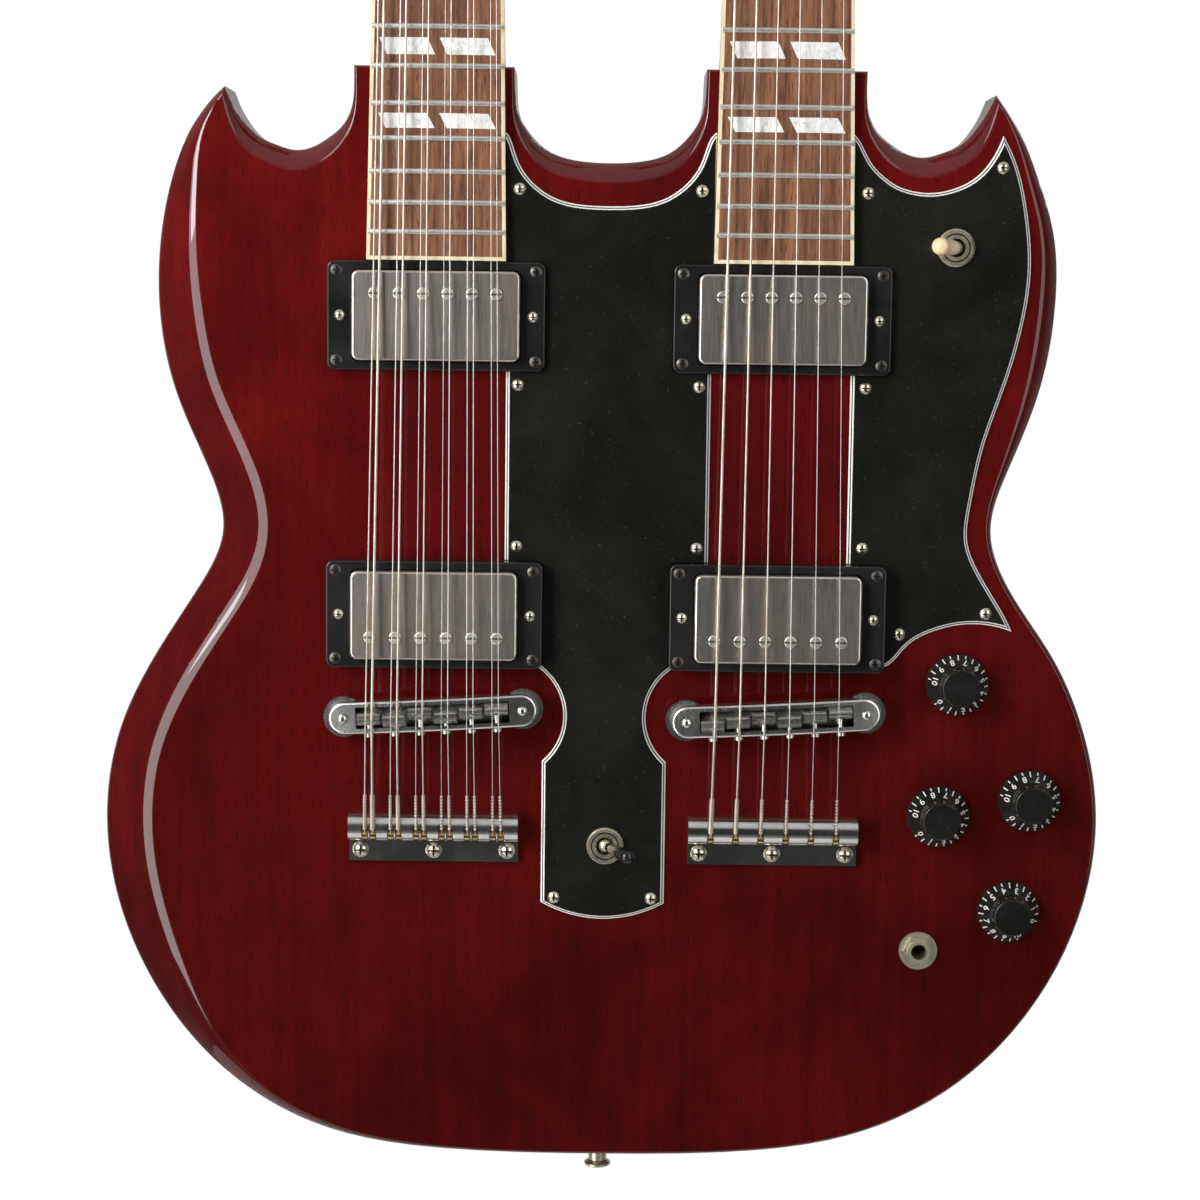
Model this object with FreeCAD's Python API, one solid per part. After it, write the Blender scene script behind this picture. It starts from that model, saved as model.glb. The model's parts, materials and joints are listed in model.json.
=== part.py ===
import FreeCAD, Part
import math
import os

# Double-neck electric guitar, in millimetres: twelve strings on the left neck and six on the right.
# X runs to the right across the front, Y runs from the front to the back, Z runs up along the necks.
# The origin is the middle of the body's bottom edge, half way through its thickness,
# where the end strap button is seated.
# A height is a distance in front of the body's flat front face.

Vector = FreeCAD.Vector
Rotation = FreeCAD.Rotation
Placement = FreeCAD.Placement

# General clearances
fit_gap = 0.1
running_gap = 0.06
overrun = 4.0

# Body
body_width = 416.0
body_length = 454.0
body_thickness = 36.0
bevel_width = 19.5
bevel_drop = 11.5
bevel_reach = 5.0

# Necks
notes_per_octave = 12
neck_spacing_share = 0.33894
neck_pair_shift = 0.6
neck_angle = 2.2
scale_length = 628.65
fret_count = 20
board_overhang = 11.3
board_thickness = 6.5
board_rise = 7.5
board_camber_radius = 305.0
board_end_width = 56.6
board_end_gap = 0.4
nut_width = 43.0
nut_length = 5.0
nut_rise = 2.2
binding_width = 1.5
bridge_line = 189.3
bridge_line_rise = 1.8
bridge_pickup_reach = 42.2
neck_depth_at_nut = 14.0
neck_depth_at_heel = 17.0
heel_depth = 27.0
heel_length = 26.0
heel_fullness = 0.55
shaft_fullness = 1.0
tenon_width = 40.0
tenon_depth = 24.0
tenon_gap = 2.5
tenon_reach = 8.0
fret_crown_width = 2.3
fret_crown_rise = 1.1
fret_tang_width = 0.6
fret_tang_depth = 1.6
fret_end_gap = 0.5
inlay_depth = 1.3
inlay_frets = [1, 3, 5, 7, 9, 12, 15, 17]
inlay_pair_share = 0.81
inlay_split_share = 0.09
inlay_height_share = 0.43
inlay_slant_share = 0.115
truss_rod_radius = 2.4
truss_rod_depth = 6.5
truss_nut_radius = 3.6
truss_nut_length = 14.0
truss_tail_margin = 30.0
truss_pocket_gap = 0.5

# Headstocks
head_angle = 14.0
head_thickness = 14.5
headplate_thickness = 1.5
head_flare_length = 44.0
head_lower_width = 72.0
head_upper_width = 82.0
head_crown_rise = 5.0
head_top_margin = 27.0
head_transition_length = 18.0
head_fullness = 0.45
head_step = 0.3
first_post_twelve = 46.0
post_pitch_twelve = 31.0
first_post_six = 46.0
post_pitch_six = 39.0
post_edge_inset = 11.5
truss_cover_length = 40.0
truss_cover_width = 27.0
truss_cover_top_width = 15.0
truss_cover_thickness = 2.0
truss_cover_gap = 1.5
truss_cover_crown = 4.5
truss_cover_screw_inset = 5.0
truss_cover_screw_spread = 17.0
truss_cover_screw_radius = 2.0
truss_screw_shank = 1.1

# Tuners
post_radius = 3.0
post_rise = 19.0
post_waist_radius = 2.3
post_waist_low = 6.5
post_waist_high = 12.0
post_tail = 4.0
bushing_radius = 4.6
bushing_washer_radius = 7.0
bushing_washer_thickness = 1.2
bushing_nut_radius = 5.4
bushing_nut_rise = 3.4
housing_width = 15.0
housing_length = 21.0
housing_depth = 11.5
housing_corner = 2.5
housing_shaft_depth = 6.9
housing_reach = 2.5
button_shaft_radius = 1.9
button_shaft_socket = 7.0
button_collar_radius = 3.2
button_collar_length = 4.0
button_stand_off = 9.0
button_reach = 15.0
button_width = 19.0
button_neck_width = 8.0
button_thickness = 6.4
button_corner = 2.0
button_shoulder_reach = 6.5

# Strings, from the tail to the post; in each pair of the twelve the thin one comes first
thickest_string = 1.17
twelve_string_shares = [0.56, 1.00, 0.39, 0.78, 0.28, 0.56, 0.21, 0.37, 0.31, 0.31, 0.24, 0.24]
six_string_shares = [1.00, 0.78, 0.56, 0.37, 0.28, 0.24]
tail_spread_twelve = 56.3
tail_spread_six = 52.0
saddle_spread_twelve = 54.3
saddle_spread_six = 50.6
nut_spread_twelve = 39.0
nut_spread_six = 35.4
tail_pair_gap = 3.3
saddle_pair_gap = 2.6
nut_pair_gap = 2.0
string_rise_at_nut = 1.3
string_rise_at_saddle = 4.6
string_post_rise = 9.0
string_bend_radius = 3.0
ball_radius = 1.6
ball_length = 2.0
ball_sink = 1.0

# Guards
guard_thickness = 2.4
guard_edge_bevel = 2.0
guard_gap = 0.25
tongue_half_share = 0.99
tongue_waist_share = 0.6564
tongue_bottom = 103.1
tongue_corner_height = 110.0
tongue_shoulder_height = 170.0
tongue_waist_height = 188.0

# Pickups
ring_width = 88.9
ring_length = 44.2
ring_corner = 3.2
ring_edge_round = 0.8
ring_rise_neck = 5.0
ring_rise_bridge = 9.0
cover_width = 68.5
cover_length = 36.5
cover_corner = 3.0
cover_edge_round = 1.2
cover_wall = 0.6
cover_rise_neck = 9.2
cover_rise_bridge = 13.4
cover_depth = 17.0
cover_gap = 0.5
cavity_gap = 1.6
pickup_cavity_depth = 21.0
pole_count = 6
pole_pitch_neck = 9.85
pole_pitch_bridge = 10.4
pole_offset = 8.9
pole_head_radius = 2.5
pole_head_rise = 0.9
pole_shank_radius = 1.6
pole_slot_width = 0.8
pole_slot_depth = 0.7
coil_width = 62.0
coil_length = 15.5
coil_depth = 11.0
coil_gap = 0.8
baseplate_thickness = 1.4
baseplate_post_width = 16.0
ear_length = 6.4
ear_corner = 2.2
ear_margin = 3.0
ring_screw_radius = 2.35
ring_screw_inset = 3.9
height_screw_radius = 2.15
height_screw_inset = 5.1
height_screw_rise = 1.1
height_shank_radius = 1.1

# Small screws
screw_head_radius = 2.5
screw_head_rise = 1.2
screw_shank_radius = 1.4
screw_length = 12.0
flush_head_rise = 0.6
short_screw_length = 6.0
tail_screw_length = 24.0
tail_screw_radius = 3.4
tail_screw_rise = 2.2
cross_width_share = 0.22
cross_reach_share = 0.62
cross_depth_share = 0.8

# Bridges
bridge_slant = 3.2
saddle_count = 6
post_spacing = 73.8
bridge_length = 86.0
bridge_width = 13.4
bridge_low = 10.0
bridge_high = 17.8
bridge_edge_round = 1.3
bridge_window_length = 63.0
bridge_window_width = 8.8
bridge_window_depth = 5.6
bridge_window_corner = 0.5
saddle_width = 9.4
saddle_length = 3.4
saddle_foot_length = 5.0
saddle_foot_depth = 3.6
saddle_ridge_width = 0.5
saddle_notch_depth = 0.3
twelve_saddle_shares = [-0.3, -0.9, 0.5, -0.65, 0.05, 0.7]
six_saddle_shares = [-1.0, -0.35, 0.3, -0.7, 0.1, 0.85]
saddle_screw_radius = 0.9
saddle_screw_head_radius = 1.7
saddle_screw_head_length = 1.4
wheel_radius = 8.4
wheel_low = 6.6
stud_radius = 3.0
stud_tip_radius = 1.9
stud_tip_rise = 0.6
insert_radius = 5.5
insert_depth = 20.0
insert_flange_radius = 6.6
insert_flange_rise = 0.9

# Tailpieces
tail_width = 70.3
tail_drop = 43.1
tail_length = 20.7
tail_bar_length = 11.4
tail_plate_thickness = 2.4
tail_bar_rise = 10.8
tail_bar_round = 5.6
tail_slot_width = 2.8
tail_slot_share = 0.68
tail_screw_inset = 4.7
tail_screw_spacing = 30.5

# Controls
knob_base_radius = 12.8
knob_top_radius = 7.7
knob_rim_rise = 2.4
knob_shoulder_rise = 7.4
knob_shoulder_radius = 8.7
knob_rise = 13.8
knob_gap = 0.8
knob_top_round = 0.9
knob_hollow_radius = 7.2
knob_hollow_rise = 4.2
knob_shaft_radius = 3.0
knob_shaft_socket = 8.0
control_top_wood = 7.0
pot_radius = 12.0
pot_depth = 10.0
pot_bushing_radius = 4.6
pot_nut_radius = 6.3
pot_nut_rise = 2.4
jack_washer_radius = 8.0
jack_washer_rise = 1.0
jack_nut_radius = 6.6
jack_nut_rise = 2.6
jack_nut_sides = 6
jack_barrel_radius = 4.7
jack_barrel_rise = 3.8
jack_bore_radius = 3.25
jack_barrel_depth = 22.0
jack_frame_radius = 9.0
jack_frame_thickness = 1.5
cavity_cover_ledge = 5.0
cavity_cover_thickness = 2.6
cavity_corner = 8.0

# Toggle switches
toggle_tilt = 22.0
toggle_pivot_rise = 2.6
toggle_ball_radius = 2.9
toggle_hole_radius = 3.8
toggle_nut_radius = 7.7
toggle_nut_rise = 2.4
toggle_nut_groove_radius = 5.9
toggle_bushing_radius = 5.6
toggle_rod_radius = 1.4
toggle_tip_start = 4.6
toggle_tip_end = 27.0
cream_tip_radius = 3.5
cream_tip_root_radius = 3.0
black_tip_root_radius = 1.9
black_tip_end_radius = 3.1
toggle_frame_width = 15.0
toggle_frame_length = 30.0
toggle_frame_depth = 20.0
toggle_frame_corner = 1.0
toggle_well_depth = 10.0
toggle_root_length = 5.0
toggle_rod_top = 7.0
toggle_nut_groove = 0.6
cream_tip_nose = 2.6
toggle_cavity_width = 27.0
toggle_cavity_length = 40.0
toggle_cavity_depth = 27.0
toggle_cavity_corner = 6.0

# Strap buttons
strap_post_radius = 3.8
strap_flange_radius = 5.6
strap_seat_radius = 5.0
strap_rise = 9.5
strap_flange_thickness = 2.6
strap_screw_radius = 2.0
strap_screw_length = 25.0

# Places on the body, across as a share of half its width and up as a share of its length
knob_shares = [(0.7053, 0.4498), (0.6740, 0.3275), (0.8558, 0.3430), (0.8202, 0.2392)]
jack_shares = [(0.6418, 0.2007)]
switch_shares = [(0.6774, 0.8447), (0.0072, 0.2971)]
back_strap_shares = [(-0.72, 0.87)]
main_screw_shares = [(0.1779, 0.8923), (0.1784, 0.7181), (0.1784, 0.5716), (0.0976, 0.2476)]
wing_screw_shares = [(0.7663, 0.9159), (0.5048, 0.8921), (0.5082, 0.7185), (0.5087, 0.5733),
                     (0.5865, 0.4956), (0.7572, 0.5152)]

# Outline of the body's outer edge: across as a share of half the width, up as a share of the length,
# and the bevel's width there as a share of the full bevel width
cutaway_shares = [
    (0.500, 1.000, 0.05), (0.500, 0.980, 0.06), (0.505, 0.964, 0.10), (0.524, 0.948, 0.22),
    (0.553, 0.937, 0.36), (0.589, 0.928, 0.43), (0.622, 0.926, 0.45), (0.654, 0.930, 0.43),
    (0.688, 0.937, 0.40), (0.719, 0.952, 0.30), (0.738, 0.966, 0.18), (0.7524, 0.9806, 0.08)]
middle_cutaway_shares = [
    (0.1875, 1.000, 0.05), (0.1856, 0.978, 0.06), (0.179, 0.960, 0.12), (0.1606, 0.945, 0.24),
    (0.118, 0.927, 0.38), (0.059, 0.919, 0.42), (0.0, 0.9174, 0.43)]
left_edge_shares = [
    (-0.7524, 0.9806, 0.08), (-0.811, 0.952, 0.27), (-0.858, 0.907, 0.56), (-0.8875, 0.841, 0.80),
    (-0.8885, 0.775, 0.93), (-0.858, 0.707, 0.95), (-0.796, 0.639, 0.97), (-0.766, 0.5815, 0.97),
    (-0.8185, 0.526, 0.95), (-0.902, 0.466, 0.95), (-0.973, 0.399, 0.97), (-1.004, 0.324, 1.0),
    (-0.987, 0.242, 1.0), (-0.918, 0.160, 0.87), (-0.786, 0.0815, 0.49), (-0.579, 0.024, 0.23),
    (-0.298, 0.0028, 0.11), (0.0, 0.0, 0.10)]
right_edge_shares = [
    (0.279, 0.0035, 0.10), (0.519, 0.0216, 0.10), (0.721, 0.0683, 0.10), (0.875, 0.143, 0.10),
    (0.969, 0.2335, 0.10), (0.996, 0.326, 0.10), (0.965, 0.405, 0.10), (0.897, 0.4747, 0.10),
    (0.810, 0.534, 0.10), (0.767, 0.590, 0.12), (0.798, 0.643, 0.20), (0.858, 0.716, 0.35),
    (0.8856, 0.797, 0.39), (0.877, 0.859, 0.33), (0.839, 0.912, 0.25), (0.8005, 0.950, 0.16),
    (0.7524, 0.9806, 0.08)]
# Section of the bevel: inset as a share of its width there, drop as a share of its drop there
bevel_section_shares = [(1.16, 0.0), (1.0, 0.03), (0.84, 0.12), (0.04, 0.93), (0.0, 1.05)]

# Half the main guard's top edge, across as a share of half its width and up as a share of the body's length
guard_top_shares = [(0.0, 0.8780), (0.293, 0.8793), (0.486, 0.8833), (0.582, 0.8872), (0.677, 0.8930),
                    (0.775, 0.9013), (0.872, 0.9145), (0.930, 0.9290), (0.982, 0.9400), (1.060, 0.9455)]
# The wing guard's edges, across as a share of half the body's width and up as a share of its length
wing_top_shares = [(0.470, 0.9465), (0.490, 0.9357), (0.508, 0.9205), (0.533, 0.9080), (0.5625, 0.8990),
                   (0.594, 0.8945), (0.6255, 0.8932), (0.657, 0.8952), (0.688, 0.9000), (0.718, 0.9088),
                   (0.744, 0.9230), (0.766, 0.9443)]
wing_side_shares = [(0.766, 0.9443), (0.797, 0.9145), (0.817, 0.8760), (0.827, 0.8260), (0.815, 0.7780),
                    (0.784, 0.7230), (0.745, 0.6680), (0.722, 0.6130), (0.718, 0.5800), (0.737, 0.5570),
                    (0.811, 0.4989)]
wing_foot_shares = [(0.811, 0.4989), (0.764, 0.5045), (0.708, 0.5046), (0.650, 0.4975), (0.602, 0.4840),
                    (0.562, 0.4655), (0.535, 0.4655)]

# Outline of the cavity behind the knobs, and the screws of its cover, in the same shares
control_cavity_shares = [(0.582, 0.168), (0.731, 0.168), (0.885, 0.214), (0.933, 0.326), (0.913, 0.392),
                         (0.798, 0.482), (0.644, 0.482), (0.572, 0.4185)]
cover_screw_shares = [(0.66, 0.1622), (0.9245, 0.263), (0.868, 0.4365), (0.60, 0.4605), (0.5665, 0.300)]

half_width = body_width / 2
front_y = -body_thickness / 2
back_y = body_thickness / 2
neck_spacing = neck_spacing_share * body_width
board_length = scale_length * (1 - 2 ** (-fret_count / notes_per_octave)) + board_overhang
board_end = bridge_line + scale_length - board_length
bridge_height = bridge_line + bridge_line_rise
neck_pickup_height = board_end - board_end_gap - ring_length / 2
bridge_pickup_height = bridge_line + bridge_pickup_reach
guard_half_width = neck_spacing / 2 - board_end_width / 2 - guard_gap
wing_inner_edge = neck_pair_shift + neck_spacing / 2 + board_end_width / 2 + guard_gap
twelve_axis = neck_pair_shift - neck_spacing / 2
six_axis = neck_pair_shift + neck_spacing / 2
head_drop = board_thickness - headplate_thickness / math.cos(math.radians(head_angle))
headplate_start = headplate_thickness * math.tan(math.radians(head_angle))
head_back = headplate_thickness + head_thickness
ear_span = ring_width - 2 * height_screw_inset + 2 * ear_margin
saddle_travel = (bridge_window_width - saddle_foot_length) / 2 - fit_gap
tail_high = bridge_height - tail_drop
tail_low = tail_high - tail_length
tail_bar_low = tail_high - tail_bar_length
tail_bar_middle = tail_high - tail_bar_length / 2

# The main guard's tongue between the two necks' pickup rings
tongue_half_width = tongue_half_share * (neck_spacing - ring_width) / 2
tongue_waist_half_width = tongue_waist_share * (neck_spacing - ring_width) / 2

# Each neck's own values: place across, strings, posts on one side, string spreads
twelve_neck = {
    "axis": twelve_axis, "string_shares": twelve_string_shares, "posts": 6,
    "first_post": first_post_twelve, "post_pitch": post_pitch_twelve,
    "tail_spread": tail_spread_twelve, "saddle_spread": saddle_spread_twelve,
    "nut_spread": nut_spread_twelve, "paired": True, "saddle_shares": twelve_saddle_shares}
six_neck = {
    "axis": six_axis, "string_shares": six_string_shares, "posts": 3,
    "first_post": first_post_six, "post_pitch": post_pitch_six,
    "tail_spread": tail_spread_six, "saddle_spread": saddle_spread_six,
    "nut_spread": nut_spread_six, "paired": False, "saddle_shares": six_saddle_shares}
necks = [twelve_neck, six_neck]


def body_places(shares):
    return [(across * half_width, up * body_length) for across, up in shares]


knob_places = body_places(knob_shares)
jack_place = body_places(jack_shares)[0]
wing_switch_place, middle_switch_place = body_places(switch_shares)
back_strap_place = body_places(back_strap_shares)[0]
wing_screw_places = body_places(wing_screw_shares)
cover_screw_places = body_places(cover_screw_shares)


def export(name, shapes):
    shape = Part.makeCompound(shapes) if isinstance(shapes, list) else shapes
    shape.exportStep("parts/" + name + ".step")


def block(low, high):
    size = high.sub(low)
    return Part.makeBox(size.x, size.y, size.z, low)


def rod(start, end, radius):
    along = end.sub(start)
    return Part.makeCylinder(radius, along.Length, start, along)


def front_rod(place, low, high, radius):
    # a round bar square to the front face, between two heights
    start = Vector(place[0], front_y - low, place[1])
    return rod(start, Vector(place[0], front_y - high, place[1]), radius)


def spline(points):
    curve = Part.BSplineCurve()
    curve.interpolate(Points=points)
    return curve.toShape()


def polygon_face(points):
    return Part.Face(Part.makePolygon(points + [points[0]]))


def prism(face, depth):
    return face.extrude(Vector(0, depth, 0))


def rounded_rectangle(width, length, corner):
    # a flat face about the origin, across X and along Z
    across = width / 2
    along = length / 2
    inner_across = across - corner
    inner_along = along - corner
    diagonal = corner * math.sqrt(0.5)
    edges = []
    for turn in range(4):
        sign_x = [1, -1, -1, 1][turn]
        sign_z = [1, 1, -1, -1][turn]
        centre = Vector(sign_x * inner_across, 0, sign_z * inner_along)
        to_side = Vector(sign_x * corner, 0, 0)
        to_end = Vector(0, 0, sign_z * corner)
        first, last = (to_side, to_end) if turn % 2 == 0 else (to_end, to_side)
        middle = centre.add(Vector(sign_x * diagonal, 0, sign_z * diagonal))
        edges.append(Part.Arc(centre.add(first), middle, centre.add(last)).toShape())
    lines = []
    for turn in range(4):
        start = edges[turn].valueAt(edges[turn].LastParameter)
        end = edges[(turn + 1) % 4].valueAt(edges[(turn + 1) % 4].FirstParameter)
        lines.append(Part.makeLine(start, end))
    ordered = [edge for pair in zip(edges, lines) for edge in pair]
    return Part.Face(Part.Wire(ordered))


def front_plate(centre, width, length, corner, low, high):
    # a rounded plate on the front, between two heights
    face = rounded_rectangle(width, length, corner)
    face.translate(Vector(centre[0], front_y - low, centre[1]))
    return prism(face, low - high)


def turned(profile, place, axis):
    # a solid of revolution: profile points are (radius, distance along the axis from the place)
    points = [Vector(radius, 0, along) for radius, along in profile]
    solid = polygon_face(points).revolve(Vector(0, 0, 0), Vector(0, 0, 1), 360)
    solid = Part.Solid(solid.Shells[0]) if solid.ShapeType != "Solid" else solid
    solid.Placement = Placement(place, Rotation(Vector(0, 0, 1), axis))
    return solid


def front_turned(profile, place):
    # the profile's distances are heights in front of the body
    return turned(profile, Vector(place[0], front_y, place[1]), Vector(0, -1, 0))


def edges_at(solid, depth):
    # the edges that lie in a plane square to Y
    return [edge for edge in solid.Edges if abs(edge.CenterOfMass.y - depth) < fit_gap]


def neck_placement(neck):
    # the neck's own frame: origin on the crown of the board at its body end, Z up the board
    origin = Vector(neck["axis"], front_y - board_rise, board_end)
    return Placement(origin, Rotation(Vector(1, 0, 0), -neck_angle))


def head_placement(neck):
    origin = Vector(0, head_drop, board_length + nut_length)
    return neck_placement(neck).multiply(Placement(origin, Rotation(Vector(1, 0, 0), -head_angle)))


def placed(shape, placement):
    moved = shape.copy()
    moved.Placement = placement.multiply(moved.Placement)
    return moved


def fret_position(number):
    # distance up the board from its body end
    return board_length - scale_length * (1 - 2 ** (-number / notes_per_octave))


def board_half_width(along):
    share = along / board_length
    return (board_end_width + (nut_width - board_end_width) * share) / 2


def camber_drop(across):
    return board_camber_radius - math.sqrt(board_camber_radius ** 2 - across ** 2)


# Body

def outline_rows(shares):
    rows = []
    for across, up, bevel in shares:
        rows.append((across * half_width, up * body_length, bevel * bevel_width))
    return rows


def mirrored(shares):
    return [(-row[0],) + tuple(row[1:]) for row in reversed(shares)]


def body_stretches():
    # anticlockwise from the left shoulder, one list of rows from corner to corner
    middle = middle_cutaway_shares + mirrored(middle_cutaway_shares)[1:]
    right_shoulder = [cutaway_shares[0], middle_cutaway_shares[0]]
    left_shoulder = mirrored(right_shoulder)
    tables = [list(reversed(mirrored(cutaway_shares))), left_edge_shares + right_edge_shares,
              list(reversed(cutaway_shares)), right_shoulder, middle, left_shoulder]
    return [outline_rows(table) for table in tables]


def plan_curve(rows):
    points = [Vector(row[0], 0, row[1]) for row in rows]
    if len(points) == 2:
        return Part.LineSegment(points[0], points[1]), None
    curve = Part.BSplineCurve()
    curve.interpolate(Points=points)
    return curve, [curve.parameter(point) for point in points]


def inward_normals(rows):
    curve, parameters = plan_curve(rows)
    if parameters is None:
        parameters = [curve.FirstParameter, curve.LastParameter]
    normals = []
    for parameter in parameters:
        tangent = curve.tangent(parameter)[0]
        normals.append(Vector(-tangent.z, 0, tangent.x))
    return normals


def corner_normal(before, after):
    both = before.add(after)
    return both.multiply(1 / (1 + before.dot(after)))


def edge_drop(bevel):
    return bevel_drop * (1 - math.exp(-bevel / bevel_reach))


def body_ring(stretches, normals, inset_share, drop_share, side):
    # one closed wire of the body's skin; side is 1 for the front and -1 for the back
    edges = []
    for rows, inward in zip(stretches, normals):
        points = []
        for row, normal in zip(rows, inward):
            inset = row[2] * inset_share
            drop = edge_drop(row[2]) * drop_share
            depth = side * (front_y + drop)
            points.append(Vector(row[0] + normal.x * inset, depth, row[1] + normal.z * inset))
        if len(points) == 2:
            edges.append(Part.makeLine(points[0], points[1]))
        else:
            curve = Part.BSplineCurve()
            curve.interpolate(Points=points, Parameters=plan_curve(rows)[1])
            edges.append(curve.toShape())
    return Part.Wire(edges)


def body_blank():
    stretches = body_stretches()
    normals = [inward_normals(rows) for rows in stretches]
    for index in range(len(stretches)):
        following = (index + 1) % len(stretches)
        shared = corner_normal(normals[index][-1], normals[following][0])
        normals[index][-1] = shared
        normals[following][0] = shared
    front = [body_ring(stretches, normals, inset, drop, 1) for inset, drop in bevel_section_shares]
    back = [body_ring(stretches, normals, inset, drop, -1) for inset, drop in bevel_section_shares]
    return Part.makeLoft(front + list(reversed(back)), True, True)


def control_cavity_face(grown):
    points = [Vector(place[0], 0, place[1]) for place in body_places(control_cavity_shares)]
    face = polygon_face(points)
    rounded = face.makeOffset2D(-cavity_corner).makeOffset2D(cavity_corner + grown)
    return rounded


def control_cavity():
    pocket = control_cavity_face(0)
    pocket.translate(Vector(0, front_y + control_top_wood, 0))
    ledge = control_cavity_face(cavity_cover_ledge + fit_gap)
    ledge.translate(Vector(0, back_y - cavity_cover_thickness, 0))
    return [prism(pocket, body_thickness), prism(ledge, body_thickness)]


def pickup_places():
    # across, up, and the side of the pickup that its pole screws are on: 1 by the neck, -1 by the bridge
    places = []
    for neck in necks:
        places.append((neck["axis"], neck_pickup_height, 1))
        places.append((neck["axis"], bridge_pickup_height, -1))
    return places


def bridge_placement(neck):
    # the bridge's own frame: origin on the body's face under its middle, Z across it towards the neck
    origin = Vector(neck["axis"], front_y, bridge_height)
    return Placement(origin, Rotation(Vector(0, 1, 0), -bridge_slant))


def bridge_post_places(neck):
    tilt = math.radians(bridge_slant)
    across = post_spacing / 2 * math.cos(tilt)
    up = post_spacing / 2 * math.sin(tilt)
    return [(neck["axis"] + side * across, bridge_height + side * up) for side in (-1, 1)]


def body_cuts():
    cuts = control_cavity()
    for across, up, _ in pickup_places():
        cuts.append(front_plate((across, up), cover_width + 2 * cavity_gap, cover_length + 2 * cavity_gap,
                                cover_corner + cavity_gap, -pickup_cavity_depth, overrun))
        cuts.append(front_plate((across, up), ear_span + 2 * fit_gap, ear_length + 2 * cavity_gap,
                                ear_corner, -pickup_cavity_depth, overrun))
    for place in (wing_switch_place, middle_switch_place):
        cuts.append(front_plate(place, toggle_cavity_width, toggle_cavity_length, toggle_cavity_corner,
                                -toggle_cavity_depth, overrun))
    for place in knob_places:
        cuts.append(front_rod(place, -control_top_wood - overrun, overrun, pot_bushing_radius + fit_gap))
    cuts.append(front_rod(jack_place, -control_top_wood - overrun, overrun, jack_barrel_radius + fit_gap))
    for neck in necks:
        for place in bridge_post_places(neck):
            cuts.append(front_rod(place, -insert_depth, overrun, insert_radius))
    cuts.append(rod(Vector(0, 0, strap_screw_length), Vector(0, 0, -overrun), strap_screw_radius))
    cuts.append(rod(Vector(0, 0, 0), Vector(0, 0, -overrun), strap_seat_radius + fit_gap))
    back = Vector(back_strap_place[0], back_y + overrun, back_strap_place[1])
    front = Vector(back_strap_place[0], back_y - strap_screw_length, back_strap_place[1])
    cuts.append(rod(front, back, strap_screw_radius))
    return cuts


# Necks, boards, frets and nuts

def half_round_section(half, depth, top, along, fullness, placement):
    # a closed wire: flat on the front, rounded on the back
    steps = 8
    points = []
    for step in range(steps + 1):
        angle = math.pi * step / steps
        cosine = math.cos(angle)
        across = half * math.copysign(abs(cosine) ** fullness, cosine)
        points.append(Vector(across, top + depth * math.sin(angle) ** fullness, along))
    curve = spline(points)
    wire = Part.Wire([curve, Part.makeLine(points[-1], points[0])])
    wire.transformShape(placement.Matrix)
    return wire


def head_half_width(along, neck):
    length = head_length(neck)
    lower = head_flare_length
    if along <= lower:
        share = math.sin(math.pi / 2 * max(along, 0) / lower) ** 2
        return (nut_width + (head_lower_width - nut_width) * share) / 2
    share = (along - lower) / (length - lower)
    return (head_lower_width + (head_upper_width - head_lower_width) * share) / 2


def head_length(neck):
    return neck["first_post"] + (neck["posts"] - 1) * neck["post_pitch"] + head_top_margin


def head_face(neck, start):
    # the headstock's outline in its own frame
    length = head_length(neck)
    flare_steps = 6
    flare = []
    for step in range(flare_steps + 1):
        along = start + (head_flare_length - start) * step / flare_steps
        flare.append(Vector(head_half_width(along, neck), 0, along))
    top = Vector(head_half_width(length, neck), 0, length)
    crown = Vector(0, 0, length + head_crown_rise)
    flip = [Vector(-point.x, 0, point.z) for point in flare]
    top_left = Vector(-top.x, 0, length)
    edges = [spline(flare), Part.makeLine(flare[-1], top), Part.Arc(top, crown, top_left).toShape(),
             Part.makeLine(top_left, flip[-1]), spline(list(reversed(flip)))]
    edges.append(Part.makeLine(flip[0], flare[0]))
    return Part.Face(Part.Wire(edges))


def post_places(neck):
    # across and up in the headstock's frame, left side from the nut up, then right side from the nut up
    places = []
    for side in (-1, 1):
        for index in range(neck["posts"]):
            along = neck["first_post"] + index * neck["post_pitch"]
            places.append((side * (head_half_width(along, neck) - post_edge_inset), along, side))
    return places


def joint_place():
    # how far up the board the body ends
    return (body_length - board_end) / math.cos(math.radians(neck_angle))


def shaft_section(along, depth, half_at, neck):
    # the neck's section at a distance up the board, as wide as the board is at half_at
    return half_round_section(board_half_width(half_at), depth, board_thickness, along, shaft_fullness,
                              neck_placement(neck))


def neck_shaft(neck):
    # slims evenly from the heel to the nut
    heel_top = joint_place() + heel_length
    middle = (heel_top + board_length) / 2
    middle_depth = (neck_depth_at_heel + neck_depth_at_nut) / 2
    sections = [shaft_section(heel_top, neck_depth_at_heel, heel_top, neck),
                shaft_section(middle, middle_depth, middle, neck),
                shaft_section(board_length + nut_length, neck_depth_at_nut, board_length, neck)]
    return Part.makeLoft(sections, True, False)


def neck_heel(neck):
    # deepens towards the body and stops at its end
    joint = joint_place()
    heel_top = joint + heel_length
    root = half_round_section(board_half_width(joint), heel_depth, board_thickness, joint - overrun,
                              heel_fullness, neck_placement(neck))
    heel = Part.makeLoft([root, shaft_section(heel_top, neck_depth_at_heel, heel_top, neck)], True, True)
    low = Vector(neck["axis"] - board_end_width, front_y - body_thickness, 0)
    high = Vector(neck["axis"] + board_end_width, back_y + body_thickness, body_length + fit_gap)
    return heel.cut(block(low, high))


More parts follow.
